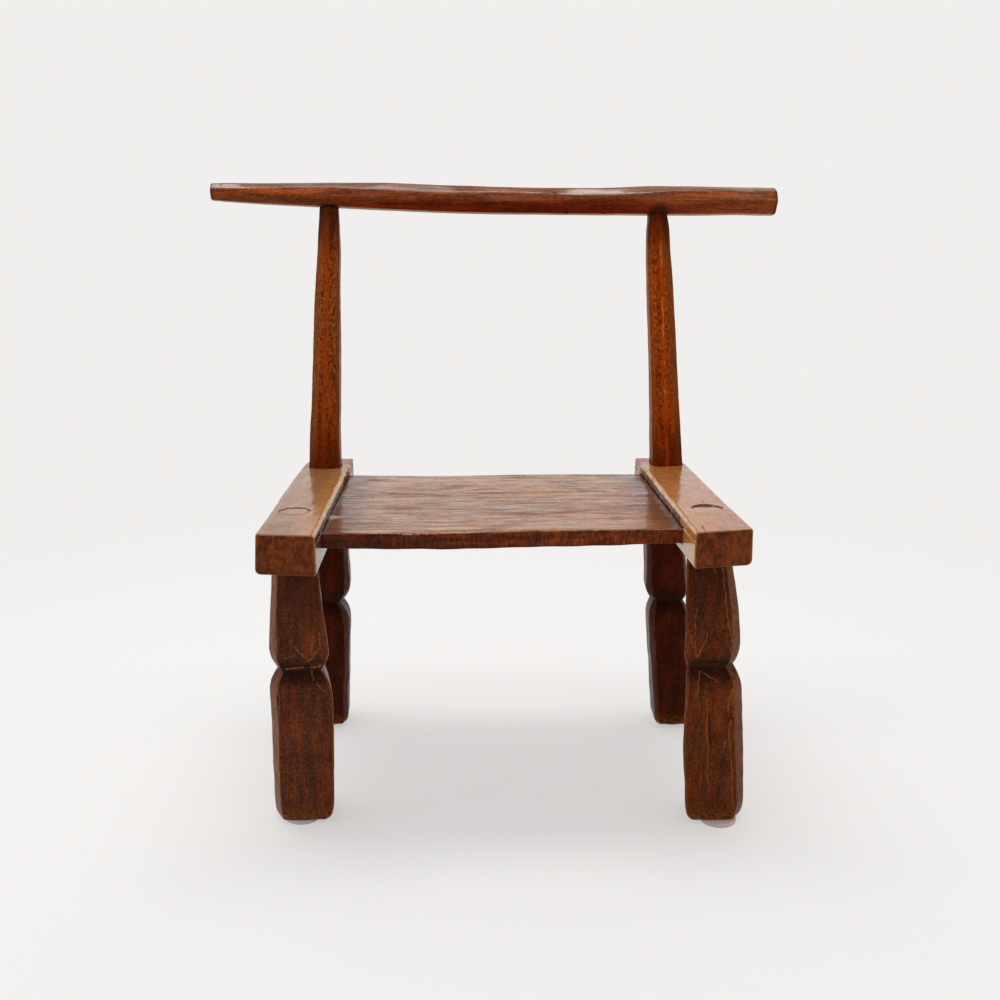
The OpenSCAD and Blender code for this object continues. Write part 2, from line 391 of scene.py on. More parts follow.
def hewn_ring(middle, facets, height, seed, hewing, scoop, tilt=0.0):
    """One ring of a hewn stick: facets that wander with height, with softly worn arrises."""
    angles = np.arange(AROUND) * 2 * math.pi / AROUND
    total = np.zeros(AROUND)
    for index, (direction, distance) in enumerate(facets):
        wander = noise.noise(Vector((height * 0.022, seed * 5.3, index * 3.7)))
        wander += 0.5 * noise.noise(Vector((height * 0.06, seed * 2.9, index * 7.1)))
        spin = 0.04 * noise.noise(Vector((height * 0.016, seed * 8.1, index * 4.9)))
        faced = np.maximum(np.cos(angles - direction - spin), 0.02)
        total += (faced / (distance + hewing * wander)) ** SHARP
    radius = total ** (-1 / SHARP)
    ring = []
    for angle, reach in zip(angles, radius):
        across = reach * math.cos(angle)
        deep = reach * math.sin(angle)
        mark = Vector((across * 0.11, deep * 0.11, height * 0.055 + seed * 13))
        reach += scoop * noise.noise(mark) + 0.4 * scoop * noise.noise(mark * 3.1)
        lift = tilt * math.cos(angle - seed)
        ring.append(seat_point(
            middle[0] + reach * math.cos(angle), middle[1] + reach * math.sin(angle), height + lift
        ))
    return ring


def round_ring(middle, radius, height, seed, roughness, sink=0.0):
    """One ring of a round tenon, which may sink towards the back."""
    ring = []
    for index in range(AROUND):
        angle = index * 2 * math.pi / AROUND
        reach = radius + roughness * noise.noise(
            Vector((2 * math.cos(angle), 2 * math.sin(angle), seed))
        )
        ring.append(seat_point(
            middle[0] + reach * math.cos(angle), middle[1] + reach * math.sin(angle),
            height - sink * (1 + reach * math.sin(angle) / radius) / 2,
        ))
    return ring


# Rows of a leg: height above the floor, middle x, middle y, width, depth
FRONT_LEFT_ROWS = (
    (4.0, -222.6, 108, 58, 52),
    (6.5, -221.8, 108, 62.5, 56),
    (11.0, -221.0, 108, 66.5, 59),
    (20.0, -220.4, 108, 68.5, 60),
    (80.0, -218.3, 107, 70.5, 60),
    (140.0, -218.2, 106, 70.5, 59),
    (157.0, -218.6, 105.5, 70, 59),
    (170.0, -218.8, 105.5, 62.5, 54),
    (178.5, -219.0, 105.5, 48, 46),
    (184.0, -219.0, 105, 56, 51),
    (193.0, -218.8, 105, 67, 57.5),
    (206.0, -218.7, 105, 66.4, 59),
    (240.0, -219.0, 104, 59, 57),
    (276.0, -218.8, 103.5, 53.6, 54),
    (310.0, -218.6, 103, 49.5, 51),
)
FRONT_RIGHT_ROWS = (
    (4.0, 234.6, 92, 54, 52),
    (6.5, 234.6, 92, 60, 56),
    (11.0, 234.4, 92, 65.5, 59),
    (20.0, 234.0, 92.5, 68.5, 60),
    (80.0, 231.1, 95, 69.3, 60),
    (140.0, 229.3, 97, 64.5, 59),
    (157.0, 228.5, 97.5, 63, 59),
    (172.0, 226.4, 98, 58, 54),
    (181.0, 224.6, 98, 52, 46),
    (186.0, 225.3, 98.5, 57.6, 51),
    (195.0, 226.0, 99, 63, 57.5),
    (210.0, 226.0, 99.5, 62.5, 59),
    (240.0, 224.5, 100.5, 60, 57),
    (276.0, 221.5, 102, 54, 54),
    (310.0, 219.0, 103, 48.5, 51),
)
REAR_LEFT_ROWS = (
    (4.0, -223.0, 357, 46, 50),
    (8.0, -223.0, 357, 53, 56),
    (80.0, -221.0, 356, 56, 58),
    (140.0, -219.0, 354.5, 57.5, 58),
    (152.0, -219.0, 354, 56, 57.5),
    (164.0, -219.6, 354, 47.6, 52),
    (173.5, -220.4, 354, 35.2, 44),
    (178.0, -218.5, 354, 45, 49),
    (186.0, -217.5, 354, 57, 56),
    (200.0, -217.0, 353.5, 56, 57),
    (240.0, -216.5, 353, 53.5, 55),
    (310.0, -216.0, 352, 51.5, 50),
)
REAR_RIGHT_ROWS = (
    (4.0, 235.6, 341, 45, 50),
    (8.0, 235.8, 341, 50.6, 56),
    (80.0, 231.9, 344, 53.2, 58),
    (140.0, 227.9, 346, 55.2, 58),
    (153.0, 227.3, 346.5, 55.4, 57.5),
    (162.0, 225.9, 347, 49, 52),
    (170.5, 225.5, 347, 39, 44),
    (175.0, 225.5, 347.5, 47, 49),
    (183.0, 224.5, 348, 57, 56),
    (200.0, 223.5, 348.5, 55, 57),
    (240.0, 220.5, 350, 52, 55),
    (310.0, 217.5, 352, 50.5, 50),
)
FRONT_WAIST = 178.5
REAR_WAIST = 172.0
# Corner facets of each stick, and how far its two sides draw in towards the back
LEG_CUTS = {
    "front_left": ((11, 20), (2.5, 3.5), (9, 10), (12, 16)),
    "front_right": ((2.5, 3.5), (13, 15), (12, 14), (9, 10)),
    "rear_left": ((8, 16), (6, 14), (9, 12), (10, 14)),
    "rear_right": ((6, 13), (8, 16), (10, 14), (9, 12)),
}
LEG_TURNS = {
    "front_left": (2, 9), "front_right": (11, 3), "rear_left": (2, 2), "rear_right": (2, 2),
}
POST_CUTS = {
    LEFT: ((9, 9), (3.5, 5), (7, 9), (7, 9)),
    RIGHT: ((4, 5), (11, 9), (7, 9), (7, 9)),
}
# Rows of a post: height above the rail tops, middle x, middle y, width, depth
LEFT_POST_ROWS = (
    (-40.0, -216.0, 352, 39, 40),
    (0.0, -216.0, 352, 39, 39.5),
    (40.0, -215.3, 356.5, 37.0, 38.3),
    (76.0, -213.2, 361, 35.4, 37.5),
    (138.0, -211.2, 368.5, 34, 35.5),
    (200.0, -209.4, 376, 31.8, 33),
    (261.0, -206.5, 383.5, 28, 28.5),
    (300.0, -205.2, 388.5, 25, 25),
    (319.0, -204.7, 390, 23, 24),
)
RIGHT_POST_ROWS = (
    (-40.0, 220.0, 352, 39.5, 40),
    (0.0, 220.0, 352, 39.5, 39.5),
    (13.0, 219.3, 353.5, 38.5, 39),
    (76.0, 216.5, 361, 35.5, 37.5),
    (138.0, 213.8, 368.5, 33.5, 35.5),
    (200.0, 210.5, 376, 33, 33),
    (261.0, 207.3, 383.5, 30.4, 29.5),
    (292.0, 206.4, 387.5, 28, 27),
    (303.0, 206.0, 389, 25, 25),
    (312.0, 205.0, 390, 23, 24),
)
POST_TIP_WIDTH = 30.0
FRONT_TENON_RADIUS = 16.3
FRONT_TENON_PLACES = {LEFT: (-219.0, 103.0), RIGHT: (219.0, 103.0)}
TENON_SINK = {LEFT: 0.6, RIGHT: 1.9}
TENON_TIP = 4.0
TIP_TENON_RADIUS = 8.0
TIP_TENON_LENGTH = 12.0
NOTCH_REACH = 24.0
LEG_EASE = 7.0
TURN_OVER = 14.0


def leg_rings(leg, rows, seed, hewing, scoop):
    """Rings of a hewn leg from its foot up to the rail's underside."""
    waist = min(rows[3:-3], key=lambda row: row[3])[0]
    heights = stations(rows[0][0], rows[-1][0], STEP, (waist,), FINE_STEP, NOTCH_REACH)
    rings = []
    for height in heights:
        reach = min(LEG_EASE, 0.8 * abs(height - waist), 0.5 * (height - rows[0][0]))
        shift_x, shift_y, wide, deep = (smoothly(rows, height, place, reach) for place in range(1, 5))
        middle = (shift_x, shift_y)
        facets = hewn_section(
            wide, deep, LEG_CUTS[leg], LEG_TURNS[leg], min(1.0, wide / FULL_WIDTH)
        )
        near_waist = math.exp(-((height - waist) / TURN_OVER) ** 2)
        ring = hewn_ring(
            middle, facets, height, seed, hewing * (1 - 0.5 * near_waist), scoop, 1.6 * near_waist
        )
        rings.append(ring)
    return rings


def front_leg(side, rows, seed, sizes):
    """Front leg with its round tenon, whose end shows on the rail's top."""
    name = f"front_{SIDES[side]}"
    rings = leg_rings(name, rows, seed, sizes.hewing / MM, sizes.scoop / MM)
    middle = FRONT_TENON_PLACES[side]
    for height in np.linspace(RAIL_UNDER, RAIL_TOP - 5.0, 8):
        rings.append(round_ring(middle, FRONT_TENON_RADIUS, height, seed, 0.25))
    for inset, drop in ((0.0, 1.2), (0.4, 0.5), (1.2, 0.15)):
        radius = FRONT_TENON_RADIUS - inset
        rings.append(round_ring(middle, radius, RAIL_TOP - drop, seed, 0.25, TENON_SINK[side]))
    return skin(f"{name}_leg_wood", rings, 6)


def post_rings(side, rows, seed, hewing, scoop):
    """Rings of a back post from inside the rail up to its shoulder under the crest."""
    rings = []
    for height in stations(rows[0][0], rows[-1][0], STEP):
        middle = (along(rows, height, 1), along(rows, height, 2))
        wide = along(rows, height, 3)
        deep = along(rows, height, 4)
        facets = hewn_section(wide, deep, POST_CUTS[side], (0, 0), min(1.0, wide / POST_TIP_WIDTH))
        rings.append(hewn_ring(
            middle, facets, RAIL_TOP + height, seed, 0.5 * hewing, 0.6 * scoop
        ))
    return rings


def rear_stick(side, rows, post_rows, seed, sizes):
    """Rear leg, back post and crest tenon in one stick."""
    hewing = sizes.hewing / MM
    scoop = sizes.scoop / MM
    rings = leg_rings(f"rear_{SIDES[side]}", rows, seed, hewing, scoop)
    rings += post_rings(side, post_rows, seed + 1, hewing, scoop)
    middle = post_rows[-1][1:3]
    shoulder = RAIL_TOP + post_rows[-1][0]
    for height in np.linspace(shoulder, shoulder + TIP_TENON_LENGTH, 4):
        rings.append(round_ring(middle, TIP_TENON_RADIUS, height, seed, 0.1))
    return skin(f"rear_{SIDES[side]}_stick_wood", rings)


# Side rails
# Rows along a rail: distance from its front tip, height lost by the top, drop of the underside
RAIL_DROPS = {
    LEFT: ((0.0, 1.2, 42.0), (60.0, 0.4, 41.0), (150.0, 0.2, 40.0), (400.0, 0.6, 39.5)),
    RIGHT: ((0.0, 0.6, 37.5), (60.0, 0.2, 38.5), (150.0, 0.2, 39.5), (400.0, 0.6, 39.5)),
}
RAIL_LONG = {LEFT: 401.0, RIGHT: 391.0}
# Rows along a rail: distance from its front tip, how far its outer face stands out
RAIL_FLARES = {
    LEFT: ((0.0, 2.2), (30.0, 1.2), (90.0, 0.9), (190.0, 2.4), (300.0, 2.2), (401.0, 0.6)),
    RIGHT: ((0.0, 3.4), (60.0, 2.0), (150.0, 1.2), (260.0, 1.6), (330.0, 2.2), (391.0, 0.6)),
}
# How much further out the rail's outer face stands at its underside, at the front tip
TOE_OUT = {LEFT: 2.4, RIGHT: 0.6}
FRONT_SKEW = {LEFT: 8.5, RIGHT: 10.5}
FRONT_INNER = {LEFT: 1.7, RIGHT: 0.3}
FLARE_EASE = 30.0
SKEW_FADE = 70.0
NOSE_LONG = 44.0
NOSE_WIDE = 20.0
TOE_LONG = 9.0
TOE_WIDE = 3.4
HEEL_LONG = 9.0
HEEL_WIDE = 6.0
BEVEL_FADE = 42.0
END_ROUND = 2.6
UNDER_ROUND = {LEFT: 5.0, RIGHT: 5.5}
OUTER_ROUND = 2.6
INNER_UNDER_ROUND = 3.0
BOARD_DROP = 12.0
LIP_DROP = 10.6
GROOVE_UNDER = 28.8
HATCHED = {LEFT: (262.0, 350.0), RIGHT: (236.0, 345.0)}
HATCH_STEP = 6.5
# Places of the sections near a rail's ends, and the steps between the others
RAIL_END_ROWS = (0.0, 0.5, 1.2, 2.0, 3.0)
RAIL_STEP = 2.9
HATCHED_STEP = 1.3
NOSE_STEP = 1.8
GROOVE_SLACK = 1.5
MORTISE_DEEP = 8.0
TENON_SLACK = {LEFT: 0.5, RIGHT: 1.3}


def arc_points(middle, radius, start, end, count):
    """Points on an arc in a section, both ends included, angles in degrees."""
    turns = np.radians(np.linspace(start, end, count))
    return [(middle[0] + radius * math.cos(t), middle[1] + radius * math.sin(t)) for t in turns]


def line_points(start, end, count):
    """Points on a straight stretch of a section, without its two ends."""
    shares = np.linspace(0, 1, count + 2)[1:-1]
    return [
        (start[0] + (end[0] - start[0]) * share, start[1] + (end[1] - start[1]) * share)
        for share in shares
    ]


def rail_section(side, inner, outer, top, under, bevel, groove, lip):
    """Section of a rail as (distance from its inner face's plane, height) points, from below."""
    round_under = UNDER_ROUND[side]
    low_out = arc_points((outer - round_under, under + round_under), round_under, -90, 0, 7)
    high_out = arc_points((outer - OUTER_ROUND, top - OUTER_ROUND), OUTER_ROUND, 0, 90, 5)
    corners = [
        high_out[-1], (inner + bevel, top), (inner, top - 0.85 * bevel), (inner, lip),
        (inner + groove, lip - 0.6), (inner + groove, -GROOVE_UNDER), (inner, -GROOVE_UNDER),
    ]
    low_in = arc_points(
        (inner + INNER_UNDER_ROUND, under + INNER_UNDER_ROUND), INNER_UNDER_ROUND, 180, 270, 4
    )
    points = low_out + line_points(low_out[-1], high_out[0], 12) + high_out
    for start, end, count in zip(corners, corners[1:], (24, 2, 3, 2, 5, 2)):
        points += line_points(start, end, count) + [end]
    points += line_points(corners[-1], low_in[0], 3) + low_in
    return points + line_points(low_in[-1], low_out[0], 24)


def drawn_in(wide, share):
    """How far a rounded corner draws in, at a share of the way to its end."""
    return wide * (1 - math.sqrt(max(0.0, 1 - max(0.0, share) ** 2)))


def rail_plan(side, y):
    """Inner and outer limits of a rail at a distance from its front tip."""
    long = RAIL_LONG[side]
    outer = RAIL_WIDE + smoothly(RAIL_FLARES[side], y, 1, FLARE_EASE)
    outer -= drawn_in(TOE_WIDE, 1 - y / TOE_LONG)
    outer -= drawn_in(NOSE_WIDE, (y - (long - NOSE_LONG)) / NOSE_LONG)
    return drawn_in(HEEL_WIDE, (y - (long - HEEL_LONG)) / HEEL_LONG), outer


def side_rail(side, sizes):
    """Side rail with its worn inner edge, its groove and its two mortises."""
    long = RAIL_LONG[side]
    front = (BOARD[0].y - TIPS_Y) / MM - GROOVE_SLACK
    rear = (BOARD[1].y - TIPS_Y) / MM + GROOVE_SLACK
    hatch_start, hatch_end = HATCHED[side]
    ends = [*RAIL_END_ROWS, *(long - inset for inset in RAIL_END_ROWS)]
    edges = [front - 0.4, front + 0.4, rear - 0.4, rear + 0.4]
    ys = sorted(set(
        stations(3.5, hatch_start, RAIL_STEP) + stations(hatch_start, hatch_end, HATCHED_STEP)
        + stations(hatch_end, long - 3.6, NOSE_STEP) + ends + edges
    ))
    rings = []
    for y in ys:
        inner, outer = rail_plan(side, y)
        top = -along(RAIL_DROPS[side], y, 1)
        under = -along(RAIL_DROPS[side], y, 2)
        wander = noise.noise(Vector((y * 0.035, side * 3.1, 0.0)))
        chip = max(0.0, noise.noise(Vector((y * 0.16, side * 9.7, 4.0))))
        bevel = sizes.rail_bevel / MM * (1 + 0.5 * wander + 0.7 * chip)
        bevel *= 1 - 0.75 * float(smooth_step(long - BEVEL_FADE, long - 6, y))
        groove = sizes.groove / MM if front < y < rear else 0.0
        lip = -LIP_DROP + 2.6 * noise.noise(Vector((y * 0.1, side * 4.3, 8.0)))
        lip = max(lip, -BOARD_DROP)
        section = rail_section(side, inner, outer, top, under, bevel, groove, lip)
        end = min(y, long - y)
        inset = END_ROUND - math.sqrt(END_ROUND ** 2 - (END_ROUND - min(end, END_ROUND)) ** 2)
        half = ((inner + outer) / 2, (top + under) / 2)
        fade = 1 - float(smooth_step(0, SKEW_FADE, y))
        cutting = float(smooth_step(hatch_start, hatch_start + 20, y))
        cutting *= 1 - float(smooth_step(hatch_end - 12, hatch_end, y))
        ring = []
        for across, height in section:
            from_middle = Vector((across - half[0], height - half[1]))
            pulled = from_middle * (1 - 0.6 * inset / from_middle.length)
            across, height = half[0] + pulled.x, half[1] + pulled.y
            push = 0.5 * noise.noise(Vector((across * 0.05, y * 0.03, height * 0.05 + side * 7)))
            push += 0.2 * noise.noise(Vector((across * 0.2, y * 0.07, height * 0.2 + side * 5)))
            if height > top - 6:
                height += push
            if inner < 1 and across < 1.5 and lip - 0.5 < height < top - 2:
                saw = (y + 1.4 * height) / HATCH_STEP
                across += 1.7 * cutting * (saw - math.floor(saw)) ** 2
                across += 0.9 * (0.5 + noise.noise(Vector((y * 0.3, height * 0.2, side))))
            low = max(0.0, (top - height) / (top - under)) * across / RAIL_WIDE
            across += TOE_OUT[side] * low * fade
            slant = (FRONT_INNER[side] + FRONT_SKEW[side] * across / RAIL_WIDE) * fade
            ring.append(seat_point(side * (RAIL_INNER + across), y + slant, RAIL_TOP + height))
        rings.append(ring)
    piece = skin(f"{SIDES[side]}_side_rail_wood", rings, 8)
    carve_mortises(piece, side, sizes)
    return piece


def carve_mortises(piece, side, sizes):
    """Opens the rail's top round the front tenon and round the post, and leaves a dark line."""
    gap = sizes.tenon_gap / MM
    middle = FRONT_TENON_PLACES[side]
    hole = (middle[0], middle[1] + TENON_SLACK[side])
    low = RAIL_TOP - MORTISE_DEEP
    high = RAIL_TOP + 4
    rings = [round_ring(hole, FRONT_TENON_RADIUS + gap, z, 3 + side, 0.7) for z in (low, high)]
    cut_away(piece, skin("tenon_cutter", rings, 1))
    rows = LEFT_POST_ROWS if side == LEFT else RIGHT_POST_ROWS
    rings = []
    for height in (-MORTISE_DEEP, 4.0):
        spot = (along(rows, height, 1), along(rows, height, 2))
        wide = along(rows, height, 3) + gap
        deep = along(rows, height, 4) + gap
        facets = hewn_section(wide, deep, POST_CUTS[side], (0, 0))
        rings.append(hewn_ring(spot, facets, RAIL_TOP + height, 4 + side, 0.2, 0.0))
    cut_away(piece, skin("post_cutter", rings, 1))


# Seat board
# Rows across the board: x, front edge, rear edge, height of the top, drop of the underside, and
# how much higher the top's rear edge is than its front edge
BOARD_ROWS = (
    (-193.0, 58.0, 346.0, -12.2, 27.6, 0.0),
    (-186.0, 57.0, 346.0, -12.2, 27.8, 0.0),
    (-184.6, 56.0, 346.5, -12.2, 28.5, 0.4),
    (-150.0, 57.5, 345.0, -13.0, 30.0, 0.8),
    (-66.0, 60.0, 343.0, -14.3, 32.0, 1.6),
    (0.0, 61.0, 342.0, -13.6, 31.2, 2.0),
    (77.0, 61.0, 341.0, -12.8, 30.3, 1.8),
    (150.0, 60.5, 340.0, -12.4, 28.6, 1.2),
    (184.6, 60.5, 339.5, -12.2, 28.0, 0.8),
    (186.0, 60.5, 339.5, -12.2, 27.6, 0.0),
    (193.0, 60.5, 339.5, -12.2, 27.2, 0.0),
)
BOARD_EDGE_ROUND = 2.2
BOARD_STEP = 3.0
BOARD_SHOULDER = 185.3
BOARD_MIDDLE = -18.0
CHIP_REACH = 3.5


def board_section(front, rear, top, under):
    """Section of the board, front to back, as (y, height) points that start under the front."""
    r = BOARD_EDGE_ROUND
    arcs = [
        arc_points((rear - r, under + r), r, -90, 0, 4),
        arc_points((rear - r, top - r), r, 0, 90, 4),
        arc_points((front + r, top - r), r, 90, 180, 5),
        arc_points((front + r, under + r), r, 180, 270, 5),
    ]
    points = []
    for arc, beyond, count in zip(arcs, arcs[1:] + arcs[:1], (5, 96, 7, 60)):
        points += arc + line_points(arc[-1], beyond[0], count)
    return points


def seat_board(sizes):
    """Seat board: slow waves across the grain, worn and chipped edges, ends thinned for the grooves."""
    wave = sizes.board_wave / MM
    rings = []
    shoulders = (-BOARD_SHOULDER, BOARD_SHOULDER)
    for x in stations(BOARD_ROWS[0][0], BOARD_ROWS[-1][0], BOARD_STEP, shoulders, 0.7, 1.4):
        front, rear, top, drop, lift = (along(BOARD_ROWS, x, column) for column in range(1, 6))
        front += 0.8 * noise.noise(Vector((x * 0.02, 1.0, 0.0)))
        front += 0.35 * noise.noise(Vector((x * 0.11, 2.0, 0.0)))
        rear += 0.9 * noise.noise(Vector((x * 0.03, 5.0, 0.0)))
        chip = max(0.0, noise.noise(Vector((x * 0.09, 7.0, 0.0))) - 0.25)
        ring = []
        for y, height in board_section(front, rear, top, -drop):
            if height > BOARD_MIDDLE:
                height += lift * (y - front) / (rear - front)
                height += wave * noise.noise(Vector((x * 0.006, y * 0.02, 0.0)))
                height += 0.12 * wave * noise.noise(Vector((x * 0.02, y * 0.07, 3.0)))
            else:
                height += 0.7 * noise.noise(Vector((x * 0.03, y * 0.03, 6.0)))
            if y < front + CHIP_REACH and height > top - CHIP_REACH:
                height -= 2.0 * chip
                y += 1.8 * chip
            ring.append(seat_point(x, y, RAIL_TOP + height))
        rings.append(ring)
    return skin("seat_board_wood", rings, 2)


# Node trees
FLOAT = "NodeSocketFloat"
WHOLE = "NodeSocketInt"
VECTOR = "NodeSocketVector"
GEOMETRY = "NodeSocketGeometry"
MATERIAL = "NodeSocketMaterial"


class Wire:
    """A value in a node tree. Its arithmetic adds the nodes that work it out."""

    def __init__(self, socket):
        self.socket = socket
        self.tree = socket.id_data

    def math(self, operation, *others, clamp=False):
        """This number, worked with others."""
        inputs = dict(enumerate((self, *others)))
        return wire(self.tree, "ShaderNodeMath", inputs, operation=operation, use_clamp=clamp)

    def vector(self, operation, *others, output=0):
        """This vector, worked with others."""
        inputs = dict(enumerate((self, *others)))
        return wire(self.tree, "ShaderNodeVectorMath", inputs, output, operation=operation)

    def worked(self, operation, *others):
        """This number or vector, worked with others of its own kind."""
        if self.socket.type in ("VECTOR", "RGBA"):
            return self.vector(operation, *others)
        return self.math(operation, *others)

    def __add__(self, other):
        return self.worked("ADD", other)

    def __sub__(self, other):
        return self.worked("SUBTRACT", other)

    def __mul__(self, other):
        return self.worked("MULTIPLY", other)

    def __truediv__(self, other):
        return self.worked("DIVIDE", other)

    def __abs__(self):
        return self.worked("ABSOLUTE")

    def most(self, other):
        """The larger of this number and another."""
        return self.math("MAXIMUM", other)

    def rest(self, whole=1.0):
        """What this number leaves of a whole, and never less than nothing."""
        inputs = {0: whole, 1: self}
        return wire(self.tree, "ShaderNodeMath", inputs, operation="SUBTRACT", use_clamp=True)

    def scale(self, factor):
        """This vector, longer by a factor."""
        inputs = {0: self, "Scale": factor}
        return wire(self.tree, "ShaderNodeVectorMath", inputs, operation="SCALE")

    def parts(self):
        """The X, Y and Z of this vector."""
        return [Wire(socket) for socket in put(self.tree, "ShaderNodeSeparateXYZ", {0: self}).outputs]

    def spread(self, low, high, to_low=0.0, to_high=1.0):
        """This number eased from the range low to high onto another range."""
        inputs = {0: self, 1: low, 2: high, 3: to_low, 4: to_high}
        return wire(self.tree, "ShaderNodeMapRange", inputs, interpolation_type="SMOOTHSTEP")

    def grain(self, scale, detail=4.0, roughness=0.55, distortion=0.0):
        """Value of a noise texture at this place."""
        return wire(self.tree, "ShaderNodeTexNoise", {
            "Vector": self, "Scale": scale, "Detail": detail,
            "Roughness": roughness, "Distortion": distortion,
        }, "Fac")


def fill(node, inputs):
    """Gives a node's inputs their links or values."""
    for name, value in inputs.items():
        if isinstance(value, Wire):
            node.id_data.links.new(value.socket, node.inputs[name])
        else:
            node.inputs[name].default_value = value


def put(tree, kind, inputs=None, **settings):
    """Adds a node, makes its settings and fills its inputs."""
    made = tree.nodes.new(kind)
    for name, value in settings.items():
        setattr(made, name, value)
    fill(made, inputs or {})
    return made


def wire(tree, kind, inputs=None, output=0, **settings):
    """What a new node gives out."""
    return Wire(put(tree, kind, inputs, **settings).outputs[output])


def solid(colour):
    """Colour with its alpha, or a colour that nodes work out as it is."""
    return colour if isinstance(colour, Wire) else (*colour, 1.0)


def mixed(share, one, two):
    """Colour between two, by a share from 0 to 1."""
    tree = next(item.tree for item in (share, one, two) if isinstance(item, Wire))
    inputs = {0: share, 6: solid(one), 7: solid(two)}
    return wire(tree, "ShaderNodeMix", inputs, 2, data_type="RGBA")


def facing(tree):
    """How far the surface faces along X, Y and Z, from -1 to 1."""
    return wire(tree, "ShaderNodeNewGeometry", None, "Normal").parts()


def new_group(name, inputs, outputs, kind="ShaderNodeTree"):
    """Empty node group, the values given to it by name, and its output node."""
    tree = bpy.data.node_groups.new(name, kind)
    for label, socket_type, default in inputs:
        socket = tree.interface.new_socket(label, in_out="INPUT", socket_type=socket_type)
        if default is not None:
            socket.default_value = default
    for label, socket_type in outputs:
        tree.interface.new_socket(label, in_out="OUTPUT", socket_type=socket_type)
    given = {socket.name: Wire(socket) for socket in tree.nodes.new("NodeGroupInput").outputs}
    return tree, given, tree.nodes.new("NodeGroupOutput")


# Shader groups
def wood_grain():
    """Grain of old wood that runs along the vector's Z."""
    tree, given, result = new_group(
        "wood grain", [("Vector", VECTOR, None), ("Shortness", FLOAT, 0.07)],
        [(label, FLOAT) for label in (
            "Broad", "Bands", "Streaks", "Flecks", "Specks", "Pores", "Height",
        )],
    )
    place = given["Vector"]
    bend = wire(tree, "ShaderNodeTexNoise", {"Vector": place, "Scale": 9.0, "Detail": 2.0}, "Color")
    bent = place + bend * (0.012, 0.012, 0.0)

    def drawn_out(factor, *pattern):
        """Noise on the place squeezed along the grain, so that it is long and thin."""
        squeeze = given["Shortness"] * factor
        scale = wire(tree, "ShaderNodeCombineXYZ", {"X": 1.0, "Y": 1.0, "Z": squeeze})
        return (bent * scale).grain(*pattern)

    streaks = drawn_out(1.0, 185, 5, 0.62).spread(0.34, 0.64)
    flecks = drawn_out(2.2, 520, 3, 0.55)
    pores = drawn_out(1.3, 1150, 2, 0.5).spread(0.56, 0.68)
    fill(result, {
        "Broad": drawn_out(4.0, 42, 4, 0.6, 0.4).spread(0.36, 0.66),
        "Bands": drawn_out(0.9, 88, 3, 0.55, 0.3).spread(0.36, 0.64),
        "Specks": drawn_out(5.0, 560, 3, 0.6).spread(0.3, 0.7),
        "Streaks": streaks,
        "Flecks": flecks.spread(0.53, 0.68),
        "Pores": pores,
        "Height": streaks + flecks - pores * 0.5,
    })
    return tree


def edge_wear():
    """Where edges are rubbed through, broken up by noise."""
    tree, given, result = new_group(
        "edge wear", [("Edge", FLOAT, 0.0), ("Vector", VECTOR, None), ("Reach", FLOAT, 0.5)],
        [("Mask", FLOAT)],
    )
    doubt = given["Vector"].grain(140, 4, 0.65) * 0.6 + given["Vector"].grain(22, 2, 0.5) * 0.7
    fill(result, {"Mask": (given["Edge"] + given["Reach"] - doubt).spread(0.25, 0.7)})
    return tree


def grime():
    """Dark grime in hollows and in soft blotches."""
    tree, given, result = new_group(
        "grime", [("Hollow", FLOAT, 0.0), ("Vector", VECTOR, None), ("Amount", FLOAT, 0.5)],
        [("Mask", FLOAT)],
    )
    blotch = given["Vector"].grain(34, 5, 0.6).spread(0.46, 0.72)
    small = given["Vector"].grain(160, 3, 0.6).spread(0.5, 0.75)
    amount = (blotch * 0.55 + small * 0.3) * given["Amount"]
    fill(result, {"Mask": amount.math("ADD", given["Hollow"], clamp=True)})
    return tree


def knife_line():
    """A thin cut from one place to another, broken by the given fading."""
    tree, given, result = new_group(
        "knife line",
        [
            ("Place", VECTOR, None), ("Fading", FLOAT, 0.5), ("From", VECTOR, None),
            ("To", VECTOR, None), ("Width", FLOAT, 1.2 * MM),
        ],
        [("Mask", FLOAT)],
    )
    run = given["To"] - given["From"]
    reach = given["Place"] - given["From"]
    whole = run.vector("DOT_PRODUCT", run, output="Value")
    share = reach.vector("DOT_PRODUCT", run, output="Value").math("DIVIDE", whole, clamp=True)
    width = given["Width"] * given["Fading"]
    far = reach.vector("DISTANCE", run.scale(share), output="Value") / width
    fill(result, {"Mask": far.rest().spread(0.0, 0.6)})
    return tree


def adze_marks():
    """Shallow hewing marks as a height."""
    tree, given, result = new_group(
        "adze marks", [("Vector", VECTOR, None), ("Size", FLOAT, 62.0)], [("Height", FLOAT)]
    )
    cell = {
        "Vector": given["Vector"] * (1.4, 1.4, 0.45), "Scale": given["Size"], "Smoothness": 0.35,
    }
    height = wire(tree, "ShaderNodeTexVoronoi", cell, "Distance", feature="SMOOTH_F1")
    fill(result, {"Height": height})
    return tree


SHADER_GROUPS = {
    "wood grain": wood_grain, "edge wear": edge_wear, "grime": grime, "knife line": knife_line,
    "adze marks": adze_marks,
}


def effect(tree, name, inputs):
    """A shader group in a material: what it gives out, by name. It is made where none is yet."""
    group = bpy.data.node_groups.get(name) or SHADER_GROUPS[name]()
    node = put(tree, "ShaderNodeGroup", inputs, node_tree=group)
    return {socket.name: Wire(socket) for socket in node.outputs}


# Materials
GRAIN_UP = (0.0, 0.0, 0.0)
GRAIN_BACK = (math.radians(90), 0.0, 0.0)
GRAIN_ACROSS = (0.0, math.radians(90), 0.0)
LEG_IOR = 1.13
POST_IOR = 1.08
WAX_IOR = 1.5
